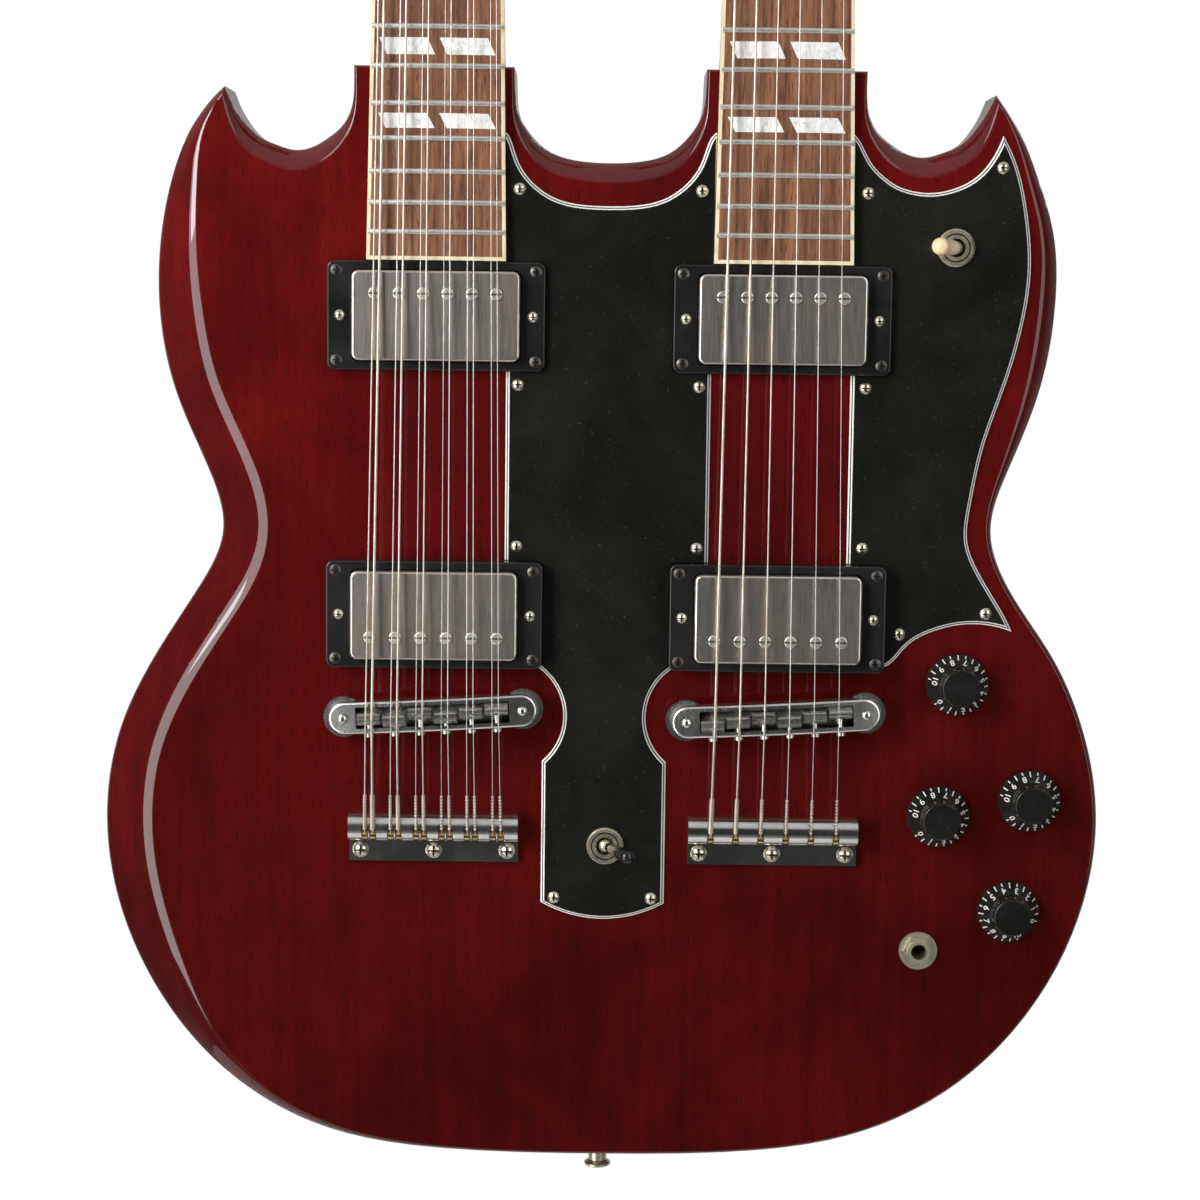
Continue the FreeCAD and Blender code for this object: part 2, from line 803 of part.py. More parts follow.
def neck_wood(neck):
    frame = neck_placement(neck)
    head = head_placement(neck)
    top = shaft_section(board_length + nut_length, neck_depth_at_nut, board_length, neck)
    slab_start = half_round_section(head_half_width(head_transition_length, neck) - head_step, head_thickness,
                                    headplate_thickness, head_transition_length, head_fullness, head)
    transition = Part.makeLoft([top, slab_start], True, True)
    slab = head_face(neck, head_transition_length)
    slab.translate(Vector(0, headplate_thickness, 0))
    slab = placed(prism(slab, head_thickness), head)
    wood = neck_shaft(neck).fuse([neck_heel(neck), transition, slab, neck_tenon(neck, 0)]).removeSplitter()
    holes = [placed(truss_rod_shape(fit_gap), frame), placed(truss_pocket(), frame)]
    for across, along, _ in post_places(neck):
        front = Vector(across, -overrun, along)
        back = Vector(across, head_back + overrun, along)
        holes.append(placed(rod(front, back, bushing_radius + fit_gap), head))
    screw_depth = short_screw_length - truss_cover_thickness
    holes.extend(placed(hole, head) for hole in truss_screw_holes(screw_depth))
    return wood.cut(holes)


def neck_tenon(neck, grown):
    # the tongue of neck wood let into the body under the board; it ends inside the heel
    half = tenon_width / 2 + grown
    low = Vector(-half, board_thickness, tenon_gap - grown)
    high = Vector(half, board_thickness + tenon_depth + grown, joint_place() + tenon_reach)
    return placed(block(low, high), neck_placement(neck))


def truss_pocket():
    # the opening in the headstock's face through which the rod's nut is turned
    start = board_length + nut_length + truss_cover_gap + truss_pocket_gap
    low = Vector(-truss_nut_radius - fit_gap, 0, start)
    high = Vector(truss_nut_radius + fit_gap, board_thickness + truss_rod_depth,
                  board_length + truss_nut_length + truss_nut_radius)
    return block(low, high)


def truss_rod_shape(grown):
    depth = board_thickness + truss_rod_depth
    tail = Vector(0, depth, truss_tail_margin - grown)
    start = Vector(0, depth, board_length)
    bar = rod(tail, start, truss_rod_radius + grown)
    nut = rod(start, Vector(0, depth, board_length + truss_nut_length), truss_nut_radius + grown)
    return bar.fuse(nut)


def board_prism(grown, depth):
    # the board's tapered outline made solid; grown is negative inside the binding
    end_half = board_half_width(0) + grown
    nut_half = board_half_width(board_length) + grown
    points = [Vector(-end_half, 0, -grown), Vector(end_half, 0, -grown),
              Vector(nut_half, 0, board_length), Vector(-nut_half, 0, board_length)]
    return prism(polygon_face(points), depth)


def camber_rod(inset):
    # the round bar whose front is the board's cambered face, or lies the inset behind it
    start = Vector(0, board_camber_radius, -overrun)
    end = Vector(0, board_camber_radius, board_length + nut_length + overrun)
    return rod(start, end, board_camber_radius - inset)


def fret_shape(number):
    # the crown stands on the board and the tang sits in its slot, both bent to the camber
    along = fret_position(number)
    half = fret_crown_width / 2
    left = Vector(0, 0, along - half)
    right = Vector(0, 0, along + half)
    crown = Part.Arc(left, Vector(0, -fret_crown_rise, along), right).toShape()
    tang = fret_tang_width / 2
    corner_points = [right, Vector(0, 0, along + tang), Vector(0, fret_tang_depth, along + tang),
                     Vector(0, fret_tang_depth, along - tang), Vector(0, 0, along - tang), left]
    lines = [Part.makeLine(corner_points[i], corner_points[i + 1]) for i in range(len(corner_points) - 1)]
    face = Part.Face(Part.Wire([crown] + lines))
    reach = math.degrees((board_half_width(along) - fret_end_gap) / board_camber_radius)
    centre = Vector(0, board_camber_radius, 0)
    face.rotate(centre, Vector(0, 0, 1), -reach)
    return face.revolve(centre, Vector(0, 0, 1), 2 * reach)


def inlay_set():
    crown = camber_rod(0)
    core = camber_rod(inlay_depth)
    pieces = []
    for number in inlay_frets:
        upper = fret_position(number - 1)
        lower = fret_position(number)
        middle = (upper + lower) / 2
        width = 2 * board_half_width(middle)
        tall = inlay_height_share * (upper - lower) / 2
        slant = inlay_slant_share * width / 2
        reach = inlay_pair_share * width / 2
        split = inlay_split_share * width / 2
        for left, right in ((-reach, -split), (split, reach)):
            upper_edge = [Vector(across - slant / 2, 0, middle + tall) for across in (left, right)]
            lower_edge = [Vector(across + slant / 2, 0, middle - tall) for across in (right, left)]
            points = upper_edge + lower_edge
            pieces.append(prism(polygon_face(points), board_thickness).common(crown).cut(core))
    return pieces


def string_nut(neck):
    # the bone strip at the end of the board, with an open slot for each string
    end = board_length + nut_length
    low = Vector(-nut_width / 2, -nut_rise, board_length)
    blank = block(low, Vector(nut_width / 2, board_thickness, end))
    crown = camber_rod(-nut_rise)
    cuts = []
    offsets = string_offsets(neck, neck["nut_spread"], nut_pair_gap)
    for across, radius in zip(offsets, string_radii(neck)):
        centre = camber_drop(across) - string_rise_at_nut - radius
        slot = radius + running_gap
        cuts.append(rod(Vector(across, centre, board_length), Vector(across, centre, end), slot))
        slot_low = Vector(across - slot, centre - overrun, board_length)
        cuts.append(block(slot_low, Vector(across + slot, centre, end)))
    return placed(blank.common(crown).cut(cuts), neck_placement(neck))


# Strings

def string_radii(neck):
    return [share * thickest_string / 2 for share in neck["string_shares"]]


def string_offsets(neck, spread, pair_gap):
    count = len(neck["string_shares"])
    if not neck["paired"]:
        return [spread * (index / (count - 1) - 0.5) for index in range(count)]
    courses = count // 2
    offsets = []
    for course in range(courses):
        left = -spread / 2 + (spread - pair_gap) * course / (courses - 1)
        offsets.extend([left, left + pair_gap])
    return offsets


def string_post_index(neck, index):
    # left posts take the left half of the strings from the nut up, right posts the right half
    count = len(neck["string_shares"])
    if index < count // 2:
        return index
    return neck["posts"] + (count - 1 - index)


def string_points(neck):
    frame = neck_placement(neck)
    head = head_placement(neck)
    tails = string_offsets(neck, neck["tail_spread"], tail_pair_gap)
    saddles = string_offsets(neck, neck["saddle_spread"], saddle_pair_gap)
    nuts = string_offsets(neck, neck["nut_spread"], nut_pair_gap)
    saddle_places = saddle_lines(neck)
    posts = post_places(neck)
    routes = []
    for index, radius in enumerate(string_radii(neck)):
        tail_x = neck["axis"] + tails[index]
        ball_up = tail_bar_low + ball_radius + ball_sink
        ball = Vector(tail_x, front_y - tail_bar_rise + ball_radius + ball_sink, ball_up)
        bar = Vector(tail_x, front_y - tail_bar_rise - radius, tail_bar_middle)
        course = index // 2 if neck["paired"] else index
        saddle_up = saddle_places[course] + saddles[index] * math.tan(math.radians(bridge_slant))
        saddle_depth = camber_drop(saddles[index]) - string_rise_at_saddle - radius
        saddle_local = Vector(saddles[index], saddle_depth, saddle_up - board_end)
        nut_depth = camber_drop(nuts[index]) - string_rise_at_nut - radius
        nut_local = Vector(nuts[index], nut_depth, board_length)
        nut_back = Vector(nuts[index], nut_local.y, board_length + nut_length)
        post = posts[string_post_index(neck, index)]
        touch = post[0] - post[2] * (post_waist_radius + radius)
        post_local = Vector(touch, -string_post_rise, post[1])
        routes.append((radius, [ball, bar, frame.multVec(saddle_local), frame.multVec(nut_local),
                                frame.multVec(nut_back), head.multVec(post_local)]))
    return routes


def string_wire(radius, points):
    # straight runs joined by arcs that touch them both
    edges = []
    start = points[0]
    for before, corner, after in zip(points, points[1:], points[2:]):
        arriving = corner.sub(before).normalize()
        leaving = after.sub(corner).normalize()
        half_turn = arriving.getAngle(leaving) / 2
        bend = string_bend_radius
        arc_start = corner.sub(Vector(arriving).multiply(bend * math.tan(half_turn)))
        arc_end = corner.add(Vector(leaving).multiply(bend * math.tan(half_turn)))
        towards_centre = leaving.sub(arriving).normalize()
        arc_middle = corner.add(towards_centre.multiply(bend / math.cos(half_turn) - bend))
        edges.append(Part.makeLine(start, arc_start))
        edges.append(Part.Arc(arc_start, arc_middle, arc_end).toShape())
        start = arc_end
    edges.append(Part.makeLine(start, points[-1]))
    section = Part.Wire(Part.makeCircle(radius, points[0], points[1].sub(points[0])))
    return Part.Wire(edges).makePipeShell([section], True, True)


def string_notches(radius, points):
    # the straight bars that cut a string's seat, with a little room round it
    return [rod(start, end, radius + running_gap) for start, end in zip(points, points[1:])]


# Guards

def share_points(shares):
    return [Vector(across * half_width, 0, up * body_length) for across, up in shares]


def main_guard_face():
    half = [Vector(across * guard_half_width, 0, up * body_length) for across, up in guard_top_shares]
    flip = [Vector(-point.x, 0, point.z) for point in reversed(half)]
    top = flip + half[1:]
    centre = neck_pair_shift
    right = top[-1]
    left = top[0]
    under_ring = neck_pickup_height
    lower_ring = bridge_pickup_height
    ring_reach = (neck_spacing - ring_width) / 2 + guard_edge_bevel
    ring_edge = centre + ring_reach
    ring_left = centre - ring_reach
    ring_foot = bridge_pickup_height - ring_length / 2
    edges = [spline(top)]
    side = [right, Vector(right.x, 0, under_ring), Vector(guard_half_width + centre, 0, under_ring),
            Vector(guard_half_width + centre, 0, lower_ring), Vector(ring_edge, 0, lower_ring),
            Vector(ring_edge, 0, ring_foot)]
    edges.extend(straight_run(side))
    waist = Vector(centre + tongue_waist_half_width, 0, tongue_waist_height)
    shoulder = Vector(centre + tongue_half_width, 0, tongue_shoulder_height)
    corner = Vector(centre + tongue_half_width, 0, tongue_corner_height)
    edges.append(Part.Arc(side[-1], waist, shoulder).toShape())
    edges.append(Part.makeLine(shoulder, corner))
    corner_left = Vector(centre - tongue_half_width, 0, tongue_corner_height)
    edges.append(Part.Arc(corner, Vector(centre, 0, tongue_bottom), corner_left).toShape())
    shoulder_left = Vector(centre - tongue_half_width, 0, tongue_shoulder_height)
    waist_left = Vector(centre - tongue_waist_half_width, 0, tongue_waist_height)
    edges.append(Part.makeLine(corner_left, shoulder_left))
    side_left = [Vector(ring_left, 0, ring_foot), Vector(ring_left, 0, lower_ring),
                 Vector(centre - guard_half_width, 0, lower_ring),
                 Vector(centre - guard_half_width, 0, under_ring), Vector(left.x, 0, under_ring), left]
    edges.append(Part.Arc(shoulder_left, waist_left, side_left[0]).toShape())
    edges.extend(straight_run(side_left))
    return Part.Face(Part.Wire(edges))


def straight_run(points):
    return [Part.makeLine(start, end) for start, end in zip(points, points[1:])]


def wing_guard_face():
    top = share_points(wing_top_shares)
    side = share_points(wing_side_shares)
    foot = share_points(wing_foot_shares)
    closing = [foot[-1], Vector(foot[-1].x, 0, bridge_pickup_height),
               Vector(wing_inner_edge, 0, bridge_pickup_height),
               Vector(wing_inner_edge, 0, neck_pickup_height),
               Vector(top[0].x, 0, neck_pickup_height), top[0]]
    edges = [spline(top), spline(side), spline(foot)] + straight_run(closing)
    return Part.Face(Part.Wire(edges))


def guard_cuts():
    board = board_prism(guard_gap, board_rise + guard_thickness)
    cuts = [placed(board, neck_placement(neck)) for neck in necks]
    for across, up, _ in pickup_places():
        cuts.append(front_plate((across, up), ring_width + 2 * guard_gap, ring_length + 2 * guard_gap,
                                ring_corner, -overrun, guard_thickness + overrun))
    return cuts


def guard_solid(face, screw_places, switch_place):
    plate = prism(face, -guard_thickness)
    plate.translate(Vector(0, front_y, 0))
    plate = plate.makeChamfer(guard_edge_bevel, edges_at(plate, front_y - guard_thickness))
    cuts = guard_cuts()
    for place in screw_places:
        cuts.append(front_rod(place, -overrun, guard_thickness + overrun, screw_shank_radius + fit_gap))
    cuts.append(front_rod(switch_place, -overrun, guard_thickness + overrun, toggle_bushing_radius + fit_gap))
    return plate.cut(cuts)


# Screws

def cross_head_screw(radius, rise, shank, length):
    # a domed head with a crossed recess on a plain shank, seated at the origin and facing up
    dome_radius = (radius ** 2 + rise ** 2) / (2 * rise)
    dome = Part.makeSphere(dome_radius)
    dome.translate(Vector(0, 0, rise - dome_radius))
    head = dome.common(Part.makeCylinder(radius, rise))
    half = radius * cross_width_share / 2
    reach = radius * cross_reach_share
    deep = rise * cross_depth_share
    slot = block(Vector(-half, -reach, rise - deep), Vector(half, reach, rise + overrun))
    other = block(Vector(-reach, -half, rise - deep), Vector(reach, half, rise + overrun))
    stem = Part.makeCylinder(shank, length, Vector(0, 0, -length))
    return head.cut([slot, other]).fuse(stem)


def seated(piece, place, depth, facing):
    # a piece made facing up, turned to face along Y and set at a depth across the body
    return placed(piece, Placement(Vector(place[0], depth, place[1]), Rotation(Vector(0, 0, 1), facing)))


def main_screw_places():
    places = []
    for across, up in body_places(main_screw_shares):
        places.extend([(neck_pair_shift - across, up), (neck_pair_shift + across, up)])
    return places


def ring_screw_places(place):
    across = ring_width / 2 - ring_screw_inset
    along = ring_length / 2 - ring_screw_inset
    return [(place[0] + side * across, place[1] + end * along) for side in (-1, 1) for end in (-1, 1)]


def tail_screw_places(neck):
    up = tail_low + tail_screw_inset
    return [(neck["axis"] + step * tail_screw_spacing, up) for step in (-1, 0, 1)]


def small_screws():
    forward = Vector(0, -1, 0)
    guard_screw = cross_head_screw(screw_head_radius, screw_head_rise, screw_shank_radius, screw_length)
    tail_screw = cross_head_screw(tail_screw_radius, tail_screw_rise, screw_shank_radius, tail_screw_length)
    truss_screw = cross_head_screw(truss_cover_screw_radius, screw_head_rise, truss_screw_shank,
                                   short_screw_length)
    cover_screw = cross_head_screw(screw_head_radius, flush_head_rise, screw_shank_radius, screw_length)
    screws = []
    for place in main_screw_places() + wing_screw_places:
        screws.append(seated(guard_screw, place, front_y - guard_thickness, forward))
    for place in pickup_places():
        rise = ring_rise(place)
        ring_screw = cross_head_screw(ring_screw_radius, flush_head_rise, screw_shank_radius,
                                      screw_length + rise)
        for spot in ring_screw_places(place):
            screws.append(seated(ring_screw, spot, front_y - rise, forward))
    for neck in necks:
        for place in tail_screw_places(neck):
            screws.append(seated(tail_screw, place, front_y - tail_plate_thickness, forward))
        for place in truss_screw_places():
            local = seated(truss_screw, place, -truss_cover_thickness, forward)
            screws.append(placed(local, head_placement(neck)))
    for place in cover_screw_places:
        screws.append(seated(cover_screw, place, back_y, Vector(0, 1, 0)))
    return screws


def screw_holes():
    holes = []
    for place in main_screw_places() + wing_screw_places:
        holes.append(front_rod(place, guard_thickness - screw_length, overrun, screw_shank_radius))
    for place in pickup_places():
        for spot in ring_screw_places(place):
            holes.append(front_rod(spot, -screw_length, overrun, screw_shank_radius))
    for neck in necks:
        for place in tail_screw_places(neck):
            deep = tail_plate_thickness - tail_screw_length
            holes.append(front_rod(place, deep, overrun, screw_shank_radius))
    for place in cover_screw_places:
        start = Vector(place[0], back_y - screw_length, place[1])
        holes.append(rod(start, Vector(place[0], back_y + overrun, place[1]), screw_shank_radius))
    return holes


def truss_screw_places():
    # in the headstock's frame: two at the foot of the cover and one at its top
    low = truss_cover_gap + truss_cover_screw_inset
    high = truss_cover_gap + truss_cover_length - truss_cover_screw_inset
    return [(-truss_cover_screw_spread / 2, low), (truss_cover_screw_spread / 2, low), (0, high)]


def truss_screw_holes(depth):
    holes = []
    for across, along in truss_screw_places():
        holes.append(rod(Vector(across, -overrun, along), Vector(across, depth, along), truss_screw_shank))
    return holes


# Pickups

def ring_rise(place):
    return ring_rise_neck if place[2] > 0 else ring_rise_bridge


def pickup_ring(place):
    rise = ring_rise(place)
    ring = front_plate(place, ring_width, ring_length, ring_corner, 0, rise)
    ring = ring.makeFillet(ring_edge_round, edges_at(ring, front_y - rise))
    cuts = [front_plate(place, cover_width + 2 * cover_gap, cover_length + 2 * cover_gap, cover_corner,
                        -overrun, rise + overrun)]
    for spot in ring_screw_places(place):
        cuts.append(front_rod(spot, -overrun, rise + overrun, screw_shank_radius))
    for spot in height_screw_places(place):
        cuts.append(front_rod(spot, -overrun, rise + overrun, height_shank_radius + fit_gap))
    return ring.cut(cuts)


def cover_rise(place):
    return cover_rise_neck if place[2] > 0 else cover_rise_bridge


def pole_places(place):
    pitch = pole_pitch_neck if place[2] > 0 else pole_pitch_bridge
    left = place[0] - pitch * (pole_count - 1) / 2
    up = place[1] + place[2] * pole_offset
    return [(left + index * pitch, up) for index in range(pole_count)]


def pickup_cover(place):
    rise = cover_rise(place)
    shell = front_plate(place, cover_width, cover_length, cover_corner, rise - cover_depth, rise)
    shell = shell.makeFillet(cover_edge_round, edges_at(shell, front_y - rise))
    cuts = [front_plate(place, cover_width - 2 * cover_wall, cover_length - 2 * cover_wall,
                        cover_corner - cover_wall, rise - cover_depth - overrun, rise - cover_wall)]
    for spot in pole_places(place):
        cuts.append(front_rod(spot, rise - overrun, rise + overrun, pole_head_radius + fit_gap))
    return shell.cut(cuts)


def pickup_coil_set(place):
    rise = cover_rise(place) - cover_wall - fit_gap
    low = rise - coil_depth
    solids = []
    for side in (-1, 1):
        spot = (place[0], place[1] + side * pole_offset)
        coil = front_plate(spot, coil_width, coil_length, coil_length / 2 - coil_gap, low, rise)
        if side == place[2]:
            for pole in pole_places(place):
                hole = front_rod(pole, low - overrun, rise + overrun, pole_shank_radius)
                counter = front_rod(pole, rise - pole_head_rise, rise + overrun, pole_head_radius)
                coil = coil.cut([hole, counter])
        solids.append(coil)
    wall = 2 * (cover_wall + fit_gap)
    plate = front_plate(place, cover_width - wall, cover_length - wall, cover_corner - cover_wall,
                        low - baseplate_thickness, low)
    base = cover_rise(place) - cover_depth - fit_gap
    ears = front_plate(place, ear_span, ear_length, ear_corner, base - baseplate_thickness, base)
    post = front_plate(place, baseplate_post_width, baseplate_post_width, ear_corner,
                       base - baseplate_thickness, low - baseplate_thickness)
    plate = plate.fuse([post, ears])
    holes = [front_rod(pole, base - overrun, rise, pole_shank_radius) for pole in pole_places(place)]
    for spot in height_screw_places(place):
        holes.append(front_rod(spot, base - overrun, rise, height_shank_radius))
    solids.append(plate.cut(holes))
    return solids


def slotted_pole(spot, rise, low):
    head = front_rod(spot, rise - cover_wall - pole_head_rise, rise + pole_head_rise, pole_head_radius)
    head = head.makeFillet(pole_head_rise / 2, edges_at(head, front_y - rise - pole_head_rise))
    shank = front_rod(spot, low, rise, pole_shank_radius)
    half = pole_slot_width / 2
    top = front_y - rise - pole_head_rise
    slot = block(Vector(spot[0] - pole_head_radius - overrun, top - overrun, spot[1] - half),
                 Vector(spot[0] + pole_head_radius + overrun, top + pole_slot_depth, spot[1] + half))
    return head.fuse(shank).cut(slot)


def height_screw_places(place):
    reach = ring_width / 2 - height_screw_inset
    return [(place[0] - reach, place[1]), (place[0] + reach, place[1])]


# Bridges

def saddle_lines(neck):
    # how far up each saddle's ridge lies, before the bridge's slant is added
    return [bridge_height + share * saddle_travel for share in neck["saddle_shares"]]


def bridge_body(neck):
    stadium = rounded_rectangle(bridge_length, bridge_width, (bridge_width - fit_gap) / 2)
    stadium.translate(Vector(0, -bridge_low, 0))
    body = prism(stadium, bridge_low - bridge_high)
    crown_centre = board_camber_radius - bridge_high
    crown = rod(Vector(0, crown_centre, -bridge_width), Vector(0, crown_centre, bridge_width),
                board_camber_radius)
    body = body.common(crown)
    rim = [edge for edge in body.Edges if edge.BoundBox.YMax < -bridge_low - bridge_edge_round]
    body = body.makeFillet(bridge_edge_round, rim)
    window = rounded_rectangle(bridge_window_length, bridge_window_width, bridge_window_corner)
    window.translate(Vector(0, -bridge_high - overrun, 0))
    cuts = [prism(window, overrun + bridge_window_depth)]
    for side in (-1, 1):
        spot = side * post_spacing / 2
        hole_end = Vector(spot, -bridge_high - overrun, 0)
        cuts.append(rod(Vector(spot, 0, 0), hole_end, stud_tip_radius + fit_gap))
    depth = saddle_screw_depth()
    for index in range(saddle_count):
        across = saddle_across(index)
        cuts.append(rod(Vector(across, depth, 0), Vector(across, depth, -bridge_width),
                        saddle_screw_radius + fit_gap))
    return placed(body.cut(cuts), bridge_placement(neck))


def saddle_across(index):
    pitch = bridge_window_length / saddle_count
    return (index - (saddle_count - 1) / 2) * pitch


def saddle_screw_depth():
    return -(bridge_high - bridge_window_depth / 2 - camber_drop(bridge_window_length / 2) / 2)


def saddle_solid(neck, index):
    # a block with a roof-shaped ridge under the string, in the bridge's own frame
    across = saddle_across(index)
    offset = neck["saddle_shares"][index] * saddle_travel
    floor = bridge_window_depth - bridge_high
    top = saddle_top(neck, index)
    shoulder = floor - saddle_foot_depth
    foot = saddle_foot_length / 2
    root = saddle_length / 2
    ridge = saddle_ridge_width / 2
    section = [(floor, -foot), (floor, foot), (shoulder, foot), (shoulder, root), (top, ridge),
               (top, -ridge), (shoulder, -root), (shoulder, -foot)]
    points = [Vector(across - saddle_width / 2, depth, offset + along) for depth, along in section]
    return polygon_face(points).extrude(Vector(saddle_width, 0, 0))


def saddle_top(neck, index):
    # where the ridge ends, a notch's depth in front of the underside of its strings
    frame = neck_placement(neck)
    across = saddle_across(index)
    local = Vector(across, camber_drop(across) - string_rise_at_saddle, bridge_height - board_end)
    return frame.multVec(local).y - front_y - saddle_notch_depth


def bridge_saddles(neck):
    solids = []
    frame = bridge_placement(neck)
    notches = []
    for radius, route in string_points(neck):
        bar, saddle, nut = route[1:4]
        notches.extend(string_notches(radius, [bar, saddle, nut]))
    depth = saddle_screw_depth()
    face = -bridge_width / 2
    for index in range(saddle_count):
        across = saddle_across(index)
        offset = neck["saddle_shares"][index] * saddle_travel
        low = Vector(across, depth, face - saddle_screw_head_length)
        high = Vector(across, depth, offset + saddle_foot_length / 2)
        shank = rod(low, high, saddle_screw_radius)
        head = rod(low, Vector(across, depth, face - fit_gap), saddle_screw_head_radius)
        saddle = placed(saddle_solid(neck, index).cut(shank), frame)
        solids.append(saddle.cut(notches))
        solids.append(placed(shank.fuse(head), frame))
    return solids


def bridge_post(place):
    profile = [(0, -insert_depth), (insert_radius, -insert_depth), (insert_radius, 0),
               (insert_flange_radius, 0), (insert_flange_radius, insert_flange_rise),
               (stud_radius, insert_flange_rise), (stud_radius, wheel_low), (wheel_radius, wheel_low),
               (wheel_radius, bridge_low), (stud_tip_radius, bridge_low),
               (stud_tip_radius, stud_top()), (0, stud_top())]
    return front_turned(profile, place)


def stud_top():
    return bridge_high - camber_drop(post_spacing / 2) + stud_tip_rise


# Tailpieces

def tailpiece(neck):
    left = neck["axis"] - tail_width / 2
    right = neck["axis"] + tail_width / 2
    plate = block(Vector(left, front_y - tail_plate_thickness, tail_low), Vector(right, front_y, tail_high))
    bar = block(Vector(left, front_y - tail_bar_rise, tail_bar_low), Vector(right, front_y, tail_high))
    long_edges = [edge for edge in bar.Edges if edge.BoundBox.XLength > tail_width / 2
                  and edge.CenterOfMass.y < front_y - tail_plate_thickness]
    bar = bar.makeFillet(tail_bar_round, long_edges)
    piece = plate.fuse(bar).removeSplitter()
    cuts = []
    for offset in string_offsets(neck, neck["tail_spread"], tail_pair_gap):
        across = neck["axis"] + offset
        half = tail_slot_width / 2
        low = Vector(across - half, front_y - tail_bar_rise - overrun, tail_bar_low - overrun)
        slot_top = tail_bar_low + tail_slot_share * tail_bar_length
        high = Vector(across + half, front_y - tail_plate_thickness, slot_top)
        cuts.append(block(low, high))
    hole_radius = screw_shank_radius + fit_gap
    for place in tail_screw_places(neck):
        cuts.append(front_rod(place, -overrun, tail_plate_thickness + overrun, hole_radius))
    return piece.cut(cuts)


def ball_ends(neck):
    solids = []
    for radius, route in string_points(neck):
        half = Vector(ball_length / 2, 0, 0)
        ball = rod(route[0].sub(half), route[0].add(half), ball_radius)
        solids.append(ball.cut(rod(route[0], route[1], radius)))
    return solids


# Controls

def control_knob(place):
    # the skirted cap, and the shaft that it is pressed on
    ceiling = knob_rise - knob_top_round
    profile = [(knob_shaft_radius, knob_hollow_rise), (knob_hollow_radius, knob_hollow_rise),
               (knob_hollow_radius, knob_gap), (knob_base_radius, knob_gap),
               (knob_base_radius, knob_rim_rise), (knob_shoulder_radius, knob_shoulder_rise),
               (knob_top_radius, knob_shoulder_rise + knob_top_round), (knob_top_radius, ceiling),
               (knob_top_radius - knob_top_round, knob_rise), (0, knob_rise), (0, ceiling),
               (knob_shaft_radius, ceiling)]
    cap = front_turned(profile, place)
    shaft = front_rod(place, -control_top_wood - knob_shaft_socket, ceiling, knob_shaft_radius)
    return [cap, shaft]


def control_pot(place):
    # the can under the wood, its bushing through it, and the nut in front
    bore = knob_shaft_radius + running_gap
    socket = -control_top_wood - knob_shaft_socket - fit_gap
    top = -control_top_wood
    profile = [(0, top - pot_depth), (pot_radius, top - pot_depth), (pot_radius, top),
               (pot_bushing_radius, top), (pot_bushing_radius, 0), (pot_nut_radius, 0),
               (pot_nut_radius, pot_nut_rise), (bore, pot_nut_rise), (bore, socket), (0, socket)]
    return front_turned(profile, place)


def output_jack():
    frame_low = -control_top_wood - jack_frame_thickness
    barrel = [(jack_bore_radius, -jack_barrel_depth), (jack_barrel_radius, -jack_barrel_depth),
              (jack_barrel_radius, frame_low), (jack_frame_radius, frame_low),
              (jack_frame_radius, -control_top_wood), (jack_barrel_radius, -control_top_wood),
              (jack_barrel_radius, jack_barrel_rise), (jack_bore_radius, jack_barrel_rise)]
    washer = [(jack_barrel_radius, 0), (jack_washer_radius, 0), (jack_washer_radius, jack_washer_rise),
              (jack_barrel_radius, jack_washer_rise)]
    corners = []
    for side in range(jack_nut_sides):
        angle = 2 * math.pi * side / jack_nut_sides
        corners.append(Vector(jack_place[0] + jack_nut_radius * math.cos(angle), front_y - jack_washer_rise,
                              jack_place[1] + jack_nut_radius * math.sin(angle)))
    nut = prism(polygon_face(corners), jack_washer_rise - jack_nut_rise)
    nut = nut.cut(front_rod(jack_place, 0, jack_nut_rise + overrun, jack_barrel_radius))
    return [front_turned(barrel, jack_place), front_turned(washer, jack_place), nut]


def rear_cover():
    plate = control_cavity_face(cavity_cover_ledge)
    plate.translate(Vector(0, back_y - cavity_cover_thickness, 0))
    plate = prism(plate, cavity_cover_thickness)
    holes = []
    for across, up in cover_screw_places:
        inner = Vector(across, back_y - cavity_cover_thickness - overrun, up)
        holes.append(rod(inner, Vector(across, back_y + overrun, up), screw_shank_radius))
    return plate.cut(holes)


# Toggle switches

def toggle_frame(place):
    top = guard_thickness
    nut_high = top + toggle_nut_rise
    groove = toggle_nut_groove
    profile = [(toggle_hole_radius, 0), (toggle_bushing_radius, 0), (toggle_bushing_radius, top),
               (toggle_nut_radius, top), (toggle_nut_radius, nut_high - groove),
               (toggle_nut_radius - groove, nut_high), (toggle_nut_groove_radius, nut_high),
               (toggle_nut_groove_radius - groove / 2, nut_high - groove),
               (toggle_nut_groove_radius - groove, nut_high), (toggle_hole_radius, nut_high)]
    bushing = front_turned(profile, place)
    box = front_plate(place, toggle_frame_width, toggle_frame_length, toggle_frame_corner,
                      -toggle_frame_depth, 0)
    return [bushing, box.cut(front_rod(place, -toggle_well_depth, overrun, toggle_hole_radius))]


def toggle_lever(place, profile, tilt):
    # modelled upright on the pivot, then leaned to one side
    pivot = Vector(place[0], front_y - toggle_pivot_rise, place[1])
    stem = rod(Vector(0, 0, -toggle_root_length), Vector(0, 0, toggle_rod_top), toggle_rod_radius)
    lever = Part.makeSphere(toggle_ball_radius).fuse(stem)
    tip = turned(profile, Vector(0, 0, 0), Vector(0, 0, 1)).cut(stem)
    leaned = Rotation(Vector(0, 0, 1), tilt).multiply(Rotation(Vector(0, 0, 1), Vector(0, -1, 0)))
    return [placed(solid, Placement(pivot, leaned)) for solid in (lever, tip)]


